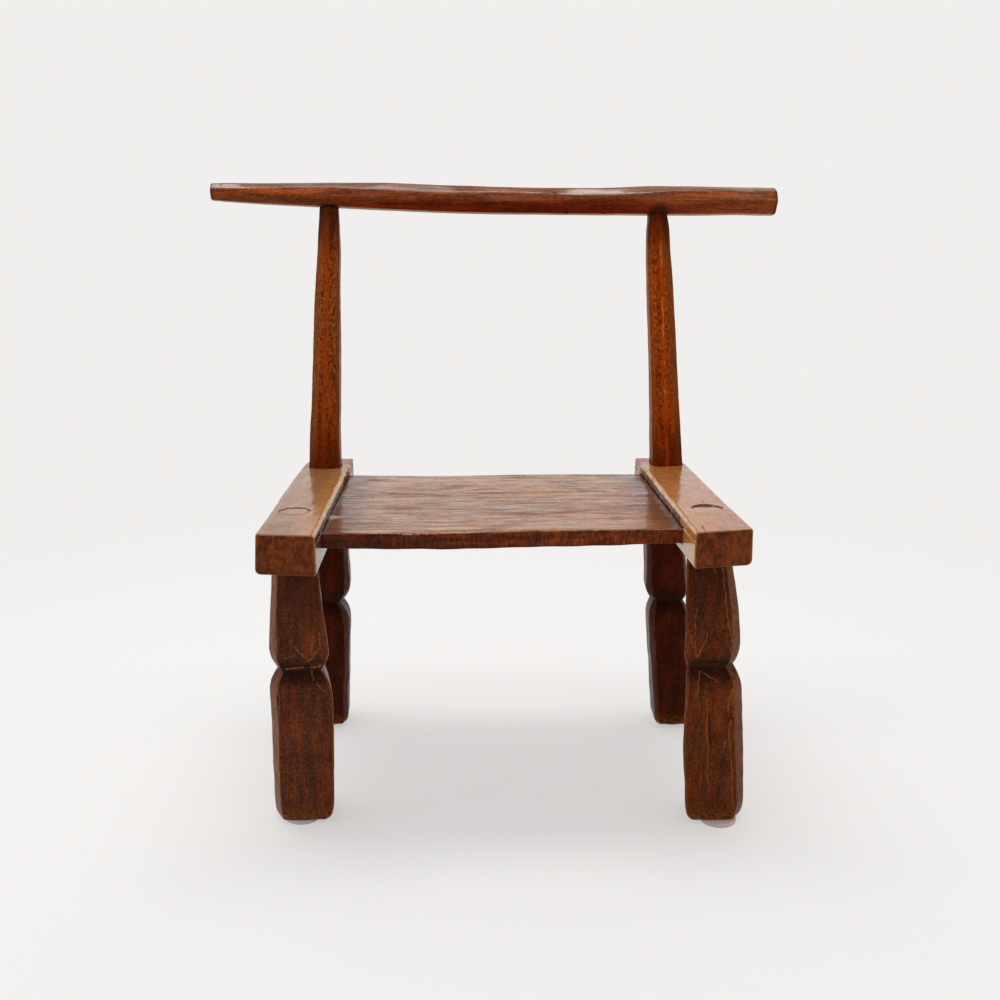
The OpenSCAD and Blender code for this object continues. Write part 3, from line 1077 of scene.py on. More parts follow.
# Tones of old wood as shares of its own colour
DULL = (0.62, 0.85, 1.5)
WARM = (1.35, 1.1, 0.7)
GOLDEN = (1.9, 2.3, 2.0)
DEEP = 0.26
UNEVEN_DARKER = 0.85
# How deep the grain and the dark cuts are in the relief, and its depth in all
GRAIN_DEEP = 0.3
CUT_DEEP = 0.8
BUMP_DEPTH = 0.4 * MM
# How strongly grime and cuts show on the wood, and what the cuts do to its polish
GRIME_SHOWS = 0.8
RUBBED_CUT_SHOWS = 0.62
DARK_CUT_SHOWS = 0.85
DARK_CUT_DULLS = 0.6
RUBBED_CUT_SHINES = 0.45
# Where the left half of the chair ends and its right half starts
LEFT_ENDS = -0.05
RIGHT_STARTS = 0.05


def new_material(name):
    """Empty node material, its tree, its shader and its object coordinates."""
    old = bpy.data.materials.get(name)
    if old:
        bpy.data.materials.remove(old)
    material = bpy.data.materials.new(name)
    material.use_nodes = True
    tree = material.node_tree
    place = wire(tree, "ShaderNodeTexCoord", None, "Object")
    return material, tree, tree.nodes["Principled BSDF"], place


def tinted(colour, factors):
    """A colour with each of its channels made stronger or weaker."""
    return tuple(min(1.0, channel * factor) for channel, factor in zip(colour, factors))


def scaled(colour, factor):
    """A lighter or darker version of a colour."""
    return tinted(colour, (factor, factor, factor))


def knife_marks(place, marks, above):
    """Masks of the rubbed cuts and of the dark cuts on a front face, or on a face seen from above.

    Each mark is its points in the seat's frame, as (x, height) in front or as (x, y) from above,
    its half width in millimetres, and whether it is dark.
    """
    noisy = {"Vector": place, "Scale": 130.0, "Detail": 3.0}
    waver = wire(place.tree, "ShaderNodeTexNoise", noisy, "Color") - (0.5, 0.5, 0.5)
    plane = Vector((1, 1, 0)) if above else Vector((1, 0, 1))
    flat = (place + waver * (0.004, 0.006, 0.006)) * plane
    fading = place.grain(240, 3, 0.6).spread(0.34, 0.58, 0.15, 1.15)
    _, back, up = facing(place.tree)
    faced = (up if above else back * -1.0).spread(0.1, 0.45)
    totals = {False: None, True: None}
    for points, width, dark in marks:
        spots = [seat_point(a, b, 0) if above else seat_point(a, 0, b) for a, b in points]
        for start, end in zip(spots, spots[1:]):
            cut = effect(place.tree, "knife line", {
                "Place": flat, "Fading": fading, "Width": width * MM,
                "From": start * plane, "To": end * plane,
            })["Mask"]
            totals[dark] = totals[dark].most(cut) if totals[dark] else cut
    return [total * faced if total else None for total in totals.values()]


def old_wood(name, colour, colours, grain, shortness, uneven, banded, streaky, flecked, speckled,
             porous, stain_and_shade, wear, relief, paint, hewn=0.0, marks=(), above=False, polish=None,
             coat_roughness=0.13, ior=1.2):
    """Waxed old wood: streaked grain, grime, rubbed edges, hewing marks and knife cuts."""
    material, tree, shader, place = new_material(name)
    turned = wire(tree, "ShaderNodeMapping", {"Vector": place, "Rotation": grain})
    figure = effect(tree, "wood grain", {"Vector": turned, "Shortness": shortness})
    edge, hollow = (
        wire(tree, "ShaderNodeAttribute", None, "Fac", attribute_name=label)
        for label in ("worn", "hollow")
    )
    rubbed = effect(tree, "edge wear", {"Edge": edge, "Vector": place, "Reach": wear})["Mask"]
    dirt = effect(tree, "grime", {"Hollow": hollow, "Vector": place, "Amount": stain_and_shade})["Mask"]
    deep = scaled(colour, DEEP)
    darker = scaled(colour, 1 - UNEVEN_DARKER * uneven)
    tone = mixed(figure["Broad"], darker, scaled(colour, 1 + uneven))
    dull = mixed(banded, tone, tinted(colour, DULL))
    warm = mixed(banded, tone, tinted(colour, WARM))
    tone = mixed(figure["Bands"], dull, warm)
    tone = mixed(figure["Streaks"].rest() * streaky, tone, deep)
    tone = mixed(figure["Specks"].spread(0.1, 0.42, speckled, 0.0), tone, deep)
    golden = figure["Specks"].spread(0.58, 0.9, 0.0, speckled)
    tone = mixed(golden, tone, tinted(colour, GOLDEN))
    tone = mixed(figure["Flecks"] * flecked, tone, colours.worn)
    tone = mixed(figure["Pores"] * porous, tone, colours.stain_and_shade)
    tone = mixed(dirt * GRIME_SHOWS, tone, colours.stain_and_shade)
    tone = mixed(rubbed, tone, colours.worn)
    height = figure["Height"] * GRAIN_DEEP
    if hewn:
        height = height + effect(tree, "adze marks", {"Vector": turned})["Height"] * hewn
    tone = paint(place, tone, colours)
    rubbed_cuts, dark_cuts = knife_marks(place, marks, above) if marks else (None, None)
    if rubbed_cuts:
        tone = mixed(rubbed_cuts * RUBBED_CUT_SHOWS, tone, colours.worn)
    if dark_cuts:
        tone = mixed(dark_cuts * DARK_CUT_SHOWS, tone, colours.stain_and_shade)
        height = height - dark_cuts * CUT_DEEP
    cloud = place.grain(55, 4, 0.6) + dirt * 0.35
    raised = {"Height": height, "Strength": relief, "Distance": BUMP_DEPTH}
    fill(shader, {
        "Base Color": tone, "Roughness": cloud.spread(0.3, 0.95, 0.25, 0.45),
        "Normal": wire(tree, "ShaderNodeBump", raised), "IOR": ior,
    })
    if polish:
        weight = polish(place)
        if dark_cuts:
            weight = weight.math("SUBTRACT", dark_cuts * DARK_CUT_DULLS, clamp=True)
        if rubbed_cuts:
            weight = weight.math("ADD", rubbed_cuts * RUBBED_CUT_SHINES, clamp=True)
        fill(shader, {
            "Coat Weight": weight, "Coat IOR": WAX_IOR, "Coat Roughness": coat_roughness,
        })
    return material


# Side rail wood
# Nicks of the right rail's top: points as (x, y), half width, dark
RAIL_NICKS = (
    (((221.2, 139.4), (220.2, 124.9)), 1.3, True),
    (((197.4, 28.9), (195.4, 1.2)), 1.1, True),
)
SEAM_INSET = 3.6 * MM
# How far out of a front tenon's edge the painted shade in its gap lies
TENON_SHADE_LINE = 0.5


def rubbed_smooth(place):
    """Polish of the faces that people touch: all but the front and rear ends."""
    x, y, _ = place.parts()
    kept = abs(facing(place.tree)[1]).spread(0.35, 0.75, 1.0, 0.0)
    patchy = (place * (0.35, 1.0, 1.0)).grain(150, 5, 0.65).spread(0.32, 0.62, 0.5, 0.82)
    smooth = kept * patchy * x.spread(LEFT_ENDS, RIGHT_STARTS, 0.76, 0.95)
    front = y.spread(TIPS_Y + 0.03, TIPS_Y + 0.12, 0.8, 1.0)
    return smooth * (front * y.spread(TIPS_Y + 0.345, TIPS_Y + 0.372, 1.0, 0.5))


def rail_face(place, tone, colours):
    """Paint of a rail: a bare inner top edge, mottled end grain, and painted shade in the gap round each
    front tenon.
    """
    x, y, z = place.parts()
    right = x.spread(LEFT_ENDS, RIGHT_STARTS)
    tone = tone * mixed(right, (0.76, 0.84, 0.85), (1.02, 0.88, 0.66))
    back = y - TIPS_Y
    from_middle = abs(x - SEAT_X)
    inward = from_middle - RAIL_INNER * MM
    ragged = inward + place.grain(70, 4, 0.6) * (6 * MM)
    _, lengthwise, up = facing(place.tree)
    ends = abs(lengthwise)
    sides = ends.spread(0.3, 0.6, 1.0, 0.0)
    high = z.spread((RAIL_TOP - 4.5) * MM, (RAIL_TOP - 1.5) * MM)
    lip = inward.spread(1.2 * MM, 2.6 * MM, 1.0, 0.0) * high.spread(0.0, 0.7, 1.0, 0.0)
    golden = right * back.spread(0.06, 0.09, 0.4, 0.05)
    golden = back.spread(0.2, 0.28, 0.0, 0.12).most(golden)
    cuts = ((place * (1.0, 1.0, 0.4)).grain(260, 3, 0.6) + golden).spread(0.56, 0.68)
    tone = mixed(lip * 0.85, tone, mixed(cuts, colours.stain_and_shade, colours.honey))
    bare = ragged.spread(3.8 * MM, 6.2 * MM, 1.0, 0.0) * high * sides
    tone = mixed(bare * 0.85, tone, colours.bare)
    glow = inward.spread(6 * MM, 24 * MM, 1.0, 0.0) * high * sides
    tone = mixed(glow * 0.3, tone, colours.honey)
    tone = mixed(back.spread(0.24, 0.34, 0.0, 0.25), tone, colours.end_light)
    tone = mixed(back.spread(0.345, 0.372, 0.0, 0.7), tone, colours.end_light)
    fibre = (place * (1.0, 1.0, 0.35)).grain(330, 4, 0.7) * 0.7
    mottle = (place.grain(85, 5, 0.7, 0.8) + fibre).spread(0.68, 1.02)
    end_tone = mixed(mottle, colours.end_dark, colours.end_light)
    low = z.spread((RAIL_UNDER - 2) * MM, (RAIL_UNDER + 9) * MM, 0.55, 0.0)
    tone = mixed(ends.spread(0.55, 0.85), tone, mixed(low, end_tone, colours.end_dark))
    corner = ragged.spread(3.2 * MM, 6.0 * MM, 0.75, 0.0)
    tone = mixed(corner * back.spread(3 * MM, 7 * MM, 1.0, 0.0), tone, colours.honey)
    off_front = abs(back - (inward * (FRONT_SKEW[LEFT] / RAIL_WIDE) + SEAM_INSET))
    seam = (off_front + place.grain(210, 4, 0.7) * (4 * MM)).spread(1.8 * MM, 5.0 * MM, 0.85, 0.0)
    tone = mixed(seam * up.spread(0.35, 0.7), tone, colours.end_dark)
    # Painted shade on the mortise's wall in the gap round each front tenon, below the rail's top
    spot = wire(place.tree, "ShaderNodeCombineXYZ", {"X": from_middle, "Y": back})
    tenon = Vector((*FRONT_TENON_PLACES[RIGHT], 0.0)) * MM
    from_tenon = spot.vector("DISTANCE", tenon, output="Value")
    ring = abs(from_tenon - (FRONT_TENON_RADIUS + TENON_SHADE_LINE) * MM)
    ring = ring.spread(0.9 * MM, 1.8 * MM, 0.95, 0.0)
    sunk = z.spread((RAIL_TOP - 1.5) * MM, (RAIL_TOP - 0.9) * MM, 1.0, 0.0)
    return mixed(ring * sunk, tone, colours.stain_and_shade)


def rail_material(colours):
    """Golden polished rail wood with a bare inner edge and mottled end grain."""
    return old_wood(
        "rail wood", colours.rail, colours, GRAIN_BACK, shortness=0.05, uneven=0.15, banded=0.3,
        streaky=0.3, flecked=0.06, speckled=0.15, porous=0.25, stain_and_shade=0.2, wear=0.05, relief=0.22,
        paint=rail_face, marks=RAIL_NICKS, above=True, polish=rubbed_smooth,
    )


# Seat board wood
# Cracks of the seat: points as (x, y), half width, dark
SEAT_CRACKS = (
    (((-184.0, 225.4), (-147.4, 221.6)), 3.0, True),
    (((-175.6, 274.2), (-133.1, 269.9), (-93.4, 271.3)), 2.6, False),
    (((92.2, 223.7), (165.0, 229.2), (179.1, 228.7)), 2.6, False),
    (((97.4, 237.0), (130.2, 241.0)), 3.0, True),
    (((-14.2, 193.0), (35.0, 191.3)), 2.4, True),
    (((-66.9, 141.9), (-60.3, 141.6)), 3.4, False),
)
# A pale smear on the seat's top, and the middle of the painted glints on its front edge
SMEAR = (-181.0, 124.0)
GLINTS_X = -0.083


def weathered(place):
    """Fine weathering of the seat's top, drawn out along its grain."""
    return (place * (0.14, 1.0, 1.0)).grain(105, 6, 0.78, 0.6)


def seat_polish(place):
    """Polish of the seat's top, broken by fine dull lines along the grain."""
    lines = weathered(place).spread(0.4, 0.5, 0.15, 1.0)
    streaks = (place * (0.3, 1.0, 1.0)).grain(90, 6, 0.75, 0.4).spread(0.4, 0.57, 0.24, 0.82)
    worn = streaks * lines * place.grain(16, 3, 0.6).spread(0.35, 0.65, 0.8, 1.0)
    return worn * facing(place.tree)[2].spread(0.4, 0.8)


def seat_edges(place, tone, colours):
    """Paint of the seat board: fine weathering, dark edges with worn chips and painted glints, and darker
    towards the rails.
    """
    x, _, z = place.parts()
    up = facing(place.tree)[2]
    weather = weathered(place)
    dark = tinted(colours.seat, (0.36, 0.24, 0.2))
    tone = mixed(weather.spread(0.4, 0.5, 0.95, 0.0), tone, dark)
    pale = tinted(colours.seat, (1.15, 1.85, 3.2))
    tone = mixed(weather.spread(0.55, 0.64, 0.0, 0.6), tone, pale)
    short = place * (0.6, 1.0, 1.0)
    flecks = short.grain(260, 3, 0.7)
    tone = mixed(flecks.spread(0.64, 0.7, 0.0, 0.6), tone, colours.bare)
    tone = mixed(flecks.spread(0.32, 0.38, 0.75, 0.0), tone, colours.stain_and_shade)
    # Darker towards the rails
    beside = abs(x - SEAT_X) + place.grain(45, 4, 0.6) * (50 * MM)
    darker_by_rails = tinted(colours.seat_edge, (0.55, 0.85, 1.6))
    tone = mixed(beside.spread(0.155, 0.205, 0.0, 0.88), tone, darker_by_rails)
    smear = place.vector("DISTANCE", seat_point(*SMEAR, RAIL_TOP - BOARD_DROP), output="Value")
    smear = smear.spread(2 * MM, 14 * MM, 0.6, 0.0) * weather.spread(0.36, 0.56)
    tone = mixed(smear, tone, colours.glide)
    fibres = (place * (1.0, 1.0, 0.2)).grain(430, 4, 0.7).spread(0.36, 0.64, 0.55, 1.6)
    layers = (place * (0.2, 1.0, 1.0)).grain(120, 5, 0.7, 0.6).spread(0.34, 0.66, 0.5, 1.5)
    mottle = fibres * layers * x.spread(-0.17, 0.02, 0.6, 1.15)
    edge = {0: tuple(colours.seat_edge), "Scale": mottle}
    shade = wire(place.tree, "ShaderNodeVectorMath", edge, operation="SCALE")
    ridge = up.spread(0.15, 0.5)
    chips = short.grain(210, 4, 0.65)
    shade = mixed(ridge * chips.spread(0.5, 0.6, 0.0, 0.7), shade, colours.worn)
    # Painted glints: pale highlights on the front edge's rounding
    glints = abs(x - GLINTS_X).spread(0.02, 0.05, 1.0, 0.0) * chips.spread(0.52, 0.58)
    shade = mixed(ridge * glints, shade, colours.glide)
    low = z.spread((RAIL_TOP - 30) * MM, (RAIL_TOP - 25) * MM, 0.5, 0.0)
    shade = mixed(low, shade, colours.stain_and_shade)
    return mixed(up.spread(0.3, 0.8, 1.0, 0.0), tone, shade)


def seat_material(colours):
    """Dark polished seat wood with its grain from side to side."""
    return old_wood(
        "seat wood", colours.seat, colours, GRAIN_ACROSS, shortness=0.045, uneven=0.25,
        banded=0.35, streaky=0.7, flecked=0.08, speckled=0.2, porous=0.3, stain_and_shade=0.45, wear=0.0,
        relief=0.4, paint=seat_edges, marks=SEAT_CRACKS, above=True, polish=seat_polish,
        coat_roughness=0.12,
    )


# Leg wood
# Knife cuts on the front legs: points as (x, height above the floor), half width, dark
LEG_MARKS = {
    LEFT: (
        (((-220.0, 208.0), (-207.7, 192.1), (-194.5, 207.7), (-194.3, 224.0)), 1.1, False),
        (((-204.2, 200.0), (-201.5, 221.0)), 0.9, False),
        (((-233.0, 194.7), (-220.1, 199.0)), 0.8, False),
        (((-240.5, 212.0), (-236.5, 219.0)), 1.0, False),
        (((-231.3, 182.6), (-213.0, 183.4)), 1.6, False),
        (((-204.8, 184.2), (-191.0, 185.6)), 2.0, False),
        (((-205.6, 190.5), (-192.9, 191.8)), 1.3, True),
        (((-232.0, 186.5), (-207.0, 186.5)), 1.2, True),
        (((-205.0, 179.0), (-202.8, 169.3)), 1.2, False),
        (((-208.6, 167.1), (-200.2, 167.9)), 1.3, True),
        (((-200.2, 168.2), (-195.2, 158.9), (-192.1, 156.6), (-185.5, 161.1)), 0.9, False),
        (((-239.9, 160.0), (-241.4, 125.0)), 0.7, False),
    ),
    RIGHT: (
        (((232.5, 290.0), (238.1, 246.5), (239.9, 229.7), (246.0, 207.0)), 1.1, False),
        (((239.0, 209.0), (243.0, 203.0), (247.5, 194.5)), 1.2, False),
        (((205.0, 246.9), (204.4, 217.0), (205.8, 200.0), (207.5, 192.5)), 0.9, False),
        (((199.8, 216.8), (203.6, 202.1), (207.5, 192.5)), 0.8, False),
        (((217.7, 223.3), (216.1, 210.9), (210.1, 199.7), (207.5, 192.5)), 1.0, False),
        (((214.0, 292.0), (222.0, 294.0), (226.0, 284.0)), 0.7, False),
        (((208.4, 188.0), (243.1, 186.0)), 1.5, True),
        (((211.0, 176.0), (209.5, 157.0), (206.0, 146.0)), 0.9, False),
        (((213.3, 175.8), (233.3, 164.0)), 0.7, False),
        (((218.8, 148.1), (220.7, 127.2), (220.4, 109.7), (223.3, 92.0), (223.0, 74.3)), 0.9, False),
        (((223.0, 74.3), (223.2, 56.4), (225.1, 38.4)), 0.9, False),
        (((222.6, 128.0), (224.6, 108.0), (226.0, 96.0)), 1.0, True),
        (((246.7, 157.0), (242.9, 144.3), (243.5, 130.4)), 1.2, False),
        (((249.5, 163.8), (246.1, 144.2)), 0.9, False),
        (((248.8, 155.8), (249.1, 126.8)), 1.0, False),
        (((246.1, 121.0), (244.8, 103.4), (250.1, 61.9), (251.9, 22.2)), 1.2, False),
        (((241.8, 99.0), (239.1, 83.5)), 1.0, False),
    ),
}
RIGHT_LEG_TINT = (1.0, 0.85, 0.66)
# How strongly the rear legs take the painted grey side sheen
REAR_LEG_SIDE_SHEEN = 0.15


def leg_zones(waist, side_sheen):
    """Paint of a leg: scuffs near the floor, painted shade round the notch and at the top, and a painted
    grey sheen on its sides.
    """

    def paint(place, tone, colours):
        """Adds the painted shade, the scuffs and the painted side sheen."""
        z = place.parts()[2]
        height = z + place.grain(60, 4, 0.6) * (18 * MM)
        # Painted shade round the notch's crease and towards the leg's top, under the rail, in nearly black
        # brown
        notch = abs(height - (waist + 9) * MM).spread(3 * MM, 26 * MM, 0.8, 0.0)
        tone = mixed(notch.most(height.spread(0.21, 0.33, 0.0, 0.62)), tone, colours.stain_and_shade)
        low = z.spread(5 * MM, 24 * MM, 1.0, 0.0)
        specks = place.grain(330, 4, 0.65).spread(0.42, 0.62)
        tone = mixed(low * specks * 0.85, tone, colours.scuff)
        # Painted grey sheen on the side facets, which face left or right
        side = abs(facing(place.tree)[0]).spread(0.3, 0.7, 0.0, 0.6)
        side = side * place.grain(170, 4, 0.65).spread(0.36, 0.62, 0.2, 1.0) * side_sheen
        return mixed(side, tone, tinted(colours.dull, (2.0, 1.4, 0.9)))

    return paint


def leg_material(name, colour, colours, waist, marks=(), side_sheen=1.0):
    """Dark hewn leg wood with orange knife cuts."""
    return old_wood(
        name, colour, colours, GRAIN_UP, shortness=0.13, uneven=0.45, banded=0.9, streaky=0.6,
        flecked=0.05, speckled=0.38, porous=0.2, stain_and_shade=0.7, wear=0.14, relief=0.8,
        paint=leg_zones(waist, side_sheen), hewn=0.7, marks=marks, ior=LEG_IOR,
    )


# Post wood
# How far a post leans inwards for each metre of height, and where its middle is at one height
POST_LEAN = 0.041
POST_FOOT = 0.219
POST_FOOT_HEIGHT = 0.35
# Height over the rail's underside at which a rear stick turns from leg to post
POST_STARTS = 10
# How far the red streak stands inwards of a post's middle
POST_RED = -5.0 * MM
DASHES_OFF = 0.5 * MM


def post_zones(place, tone, colours):
    """Paint of a post: a red streak between golden speckles, a painted grey sheen on the side facets, and
    dark ends.
    """
    x, _, z = place.parts()
    right = x.spread(LEFT_ENDS, RIGHT_STARTS)
    across = abs(x - SEAT_X) + ((z - POST_FOOT_HEIGHT) * POST_LEAN - POST_FOOT)
    long = place * (1.0, 1.0, 0.12)
    wander = long.grain(60, 3, 0.6) * (8 * MM) + POST_RED
    grains = (place * (1.0, 1.0, 0.55)).grain(430, 5, 0.8)
    golden = grains.spread(0.5, 0.57, 0.0, 0.9) * z.spread(0.39, 0.5, 0.3, 1.0)
    golden = golden * z.spread(0.57, 0.65, 1.0, 0.3)
    tone = mixed(golden, tone, tinted(colours.post, (1.15, 2.3, 4.5)))
    tone = mixed(grains.spread(0.4, 0.48, 0.9, 0.0), tone, scaled(colours.post, 0.22))
    red = abs(across - wander).spread(0.5 * MM, 5 * MM, 1.0, 0.0)
    red = red * long.grain(150, 4, 0.6).spread(0.35, 0.6, 0.2, 0.8)
    tone = mixed(red, tone, tinted(colours.post, (1.15, 1.0, 0.7)))
    # Painted grey sheen on the side facets, which face left or right
    side = abs(facing(place.tree)[0]).spread(0.25, 0.6, 0.0, 0.55)
    side = side * place.grain(240, 4, 0.65).spread(0.35, 0.6, 0.3, 1.0)
    tone = mixed(side, tone, tinted(colours.dull, (1.3, 1.1, 0.7)))
    height = z + long.grain(120, 4, 0.6) * (60 * MM)
    tone = mixed(height.spread(0.63, 0.69, 0.0, 0.68), tone, colours.stain_and_shade)
    dashes = abs(across + wander * 0.4 + DASHES_OFF).spread(0.3 * MM, 2.2 * MM, 0.7, 0.0)
    dashes = dashes * long.grain(260, 4, 0.7).spread(0.5, 0.6) * right
    dashes = dashes * z.spread(0.6, 0.64, 1.0, 0.0)
    tone = mixed(dashes, tone, tinted(colours.bare, (1.0, 0.7, 0.4)))
    foot = height.spread(0.39, 0.45, 0.55, 0.0)
    tone = mixed(foot, tone, tinted(colours.post, (0.12, 0.07, 0.1)))
    return tone * mixed(right, (0.98, 0.98, 1.15), (1.16, 0.96, 0.7))


def post_material(colours):
    """Reddish post wood with dark streaks."""
    return old_wood(
        "post wood", colours.post, colours, GRAIN_UP, shortness=0.04, uneven=0.3, banded=0.6,
        streaky=0.7, flecked=0.05, speckled=0.15, porous=0.3, stain_and_shade=0.5, wear=0.1, relief=0.5,
        paint=post_zones, ior=POST_IOR,
    )


# Crest rail wood
# Nicks of the crest: points as (x, height above the floor), half width, dark
CREST_NICKS = (
    (((-80.5, 664.5), (-79.5, 660.0)), 2.2, True),
    (((86.0, 661.0), (92.0, 663.0)), 1.4, True),
    (((133.0, 659.5), (138.0, 662.5)), 2.0, True),
    (((13.0, 667.0), (20.0, 665.6)), 1.2, True),
    (((10.0, 671.0), (17.0, 673.0)), 1.4, True),
    (((73.0, 686.5), (77.0, 685.0)), 1.4, True),
)
# Where the crest's top is rubbed to a shine: middle and reach along the rail, in metres
CREST_SHINES = ((0.017, 0.05), (0.14, 0.085), (0.32, 0.03))
CREST_DULLED = 0.42
CREST_MIDDLE = 677.3 * MM
CREST_TURN_X = 8 * MM
CREST_RISE = 0.0277
CREST_HALF = 17.5 * MM
# Shares of the crest's colour that paint its light and shade: golden where lit from above, deep red where
# shaded below, and a grey painted sheen on its top facet
GOLD_CAST = (0.78, 0.86, 1.04)
SHADED_DEEP_CAST = (0.54, 0.28, 0.2)
TOP_SHEEN_CAST = (0.52, 0.8, 1.2)
CAST_STRENGTH = 1.45
# Where the posts meet the crest's underside: distance from the middle, height over the rail tops
POST_MEETS_X = 0.205
POST_MEETS_Z = 309


def rubbed_above(place):
    """Polish of the upper side of the crest: its left end and a few shiny places."""
    x = place.parts()[0]
    kept = facing(place.tree)[2].spread(0.0, 0.5)
    patchy = (place * (0.12, 1.0, 1.0)).grain(130, 5, 0.72, 0.3).spread(0.38, 0.58, 0.45, 1.0)
    shiny = x.spread(-0.22, -0.12, 1.0, CREST_DULLED)
    for middle, reach in CREST_SHINES:
        shiny = shiny.most(abs(x - middle).spread(0.4 * reach, reach, 1.0, CREST_DULLED))
    return kept * patchy * shiny


def crest_zones(place, tone, colours):
    """Paint of the crest rail: painted light and shade, golden brown above and deep red below, a painted
    grey sheen on its top facet, painted floor light on its underside facet and painted shade where the
    posts meet it; paler towards both ends.
    """
    x, _, z = place.parts()
    up = facing(place.tree)[2]
    rise = z - (x.rest(CREST_TURN_X) * CREST_RISE + CREST_MIDDLE)
    share = rise + (place * (0.1, 1.0, 1.0)).grain(90, 4, 0.65, 0.4) * (16 * MM) - 8 * MM
    # Painted light and shade: golden on the upper part, deep red on the lower part
    golden = share.spread(-0.4 * CREST_HALF, 0.25 * CREST_HALF)
    paler = x.spread(-0.3, -0.08, 0.9, 0.0) + x.spread(0.14, 0.32, 0.0, 0.95)
    light_and_shade_cast = mixed(golden.math("ADD", paler, clamp=True), SHADED_DEEP_CAST, GOLD_CAST)
    # Painted grey sheen on the top facet
    light_and_shade_cast = mixed(up.spread(0.4, 0.7), light_and_shade_cast, TOP_SHEEN_CAST)
    tone = tone * light_and_shade_cast.scale(CAST_STRENGTH)
    # Painted floor light on the underside facet, in the light colour of bare wood
    tone = mixed(up.spread(-0.93, -0.74, 0.4, 0.0), tone, colours.bare)
    # Painted shade where the posts meet the crest's underside
    joint = wire(place.tree, "ShaderNodeCombineXYZ", {
        "X": abs(x - SEAT_X) - POST_MEETS_X, "Z": z - (RAIL_TOP + POST_MEETS_Z) * MM,
    })
    post_joint_shade = joint.vector("LENGTH", output="Value") + place.grain(160, 4, 0.6) * (12 * MM)
    tone = mixed(post_joint_shade.spread(14 * MM, 27 * MM, 0.75, 0.0), tone, colours.stain_and_shade)
    return mixed(abs(x).spread(345.5 * MM, 349.5 * MM, 0.0, 0.5), tone, colours.stain_and_shade)


def crest_material(colours):
    """Polished reddish wood of the crest rail."""
    return old_wood(
        "crest wood", colours.crest, colours, GRAIN_ACROSS, shortness=0.065, uneven=0.38,
        banded=0.8, streaky=0.75, flecked=0.04, speckled=0.25, porous=0.25, stain_and_shade=0.6, wear=0.0,
        relief=0.7, paint=crest_zones, hewn=0.6, marks=CREST_NICKS, polish=rubbed_above,
        coat_roughness=0.11, ior=LEG_IOR,
    )


def glide_material(colours):
    """Pale plastic, slightly dulled and dirty in patches."""
    material, tree, shader, place = new_material("glide plastic")
    dirt = effect(tree, "grime", {"Vector": place, "Amount": 0.5})["Mask"]
    fill(shader, {
        "Base Color": mixed(dirt * 0.35, colours.glide, scaled(colours.glide, 0.45)),
        "Roughness": place.grain(300, 3).spread(0.3, 0.7, 0.35, 0.55),
    })
    return material


# Pieces grown by geometry nodes
def dressed(result, geometry, material):
    """Ends a tree with real geometry that has its material."""
    tree = result.id_data
    real = wire(tree, "GeometryNodeRealizeInstances", {"Geometry": geometry})
    last = {"Geometry": real, "Material": material}
    fill(result, {"Geometry": wire(tree, "GeometryNodeSetMaterial", last)})
    return tree


def lines(name, runs):
    """Poly curves through points of the row frame, each point with its radius."""
    curve = bpy.data.curves.new(name, "CURVE")
    curve.dimensions = "3D"
    for run in runs:
        spline = curve.splines.new("POLY")
        spline.points.add(len(run) - 1)
        for knot, (point, radius) in zip(spline.points, run):
            knot.co = (*point, 1.0)
            knot.radius = radius
    return linked(name, curve)


def grown(name, piece, tree, values):
    """The piece after a Geometry Nodes tree with these input values, as a plain mesh."""
    modifier = piece.modifiers.new(tree.name, "NODES")
    modifier.node_group = tree
    sockets = {item.name: item.identifier for item in tree.interface.items_tree if item.in_out == "INPUT"}
    for label, value in values.items():
        modifier[sockets[label]] = value
    piece.update_tag()
    made = baked(piece)
    made.name = name
    return made


# Rows of the crest: x, height of its top and of its underside above the rail tops
CREST_ROWS = (
    (-348.9, 346.2, 328.2),
    (-348.2, 347.6, 327.0),
    (-346.5, 347.9, 326.6),
    (-270.0, 347.9, 321.8),
    (-190.0, 348.9, 318.2),
    (-140.0, 348.9, 316.0),
    (-60.0, 345.8, 313.0),
    (8.0, 344.0, 311.0),
    (80.0, 343.0, 311.0),
    (138.0, 342.4, 310.4),
    (198.0, 345.6, 310.0),
    (250.0, 345.4, 310.0),
    (305.0, 344.4, 311.0),
    (350.0, 344.0, 309.8),
    (352.3, 343.5, 310.2),
    (352.9, 342.6, 311.0),
)
CREST_Y = 390.0
# Facets of the crest: direction in degrees from the back over the top, distance as a share
CREST_FACETS = (
    (90, 1.0), (126, 0.95), (168, 0.985), (212, 0.96), (262, 1.0), (312, 0.97), (0, 0.98), (45, 0.95),
)
CREST_SHARP = 30.0
CREST_STEP = 2.4
# The facets whose direction wanders along the rail, and how far, in radians
CREST_SWINGING = (1, 2)
CREST_SWING = 0.8
# How far apart the facets' own noises lie, and how strongly these move the facets
CREST_APART = 3.3
CREST_UNEVEN = 2.4


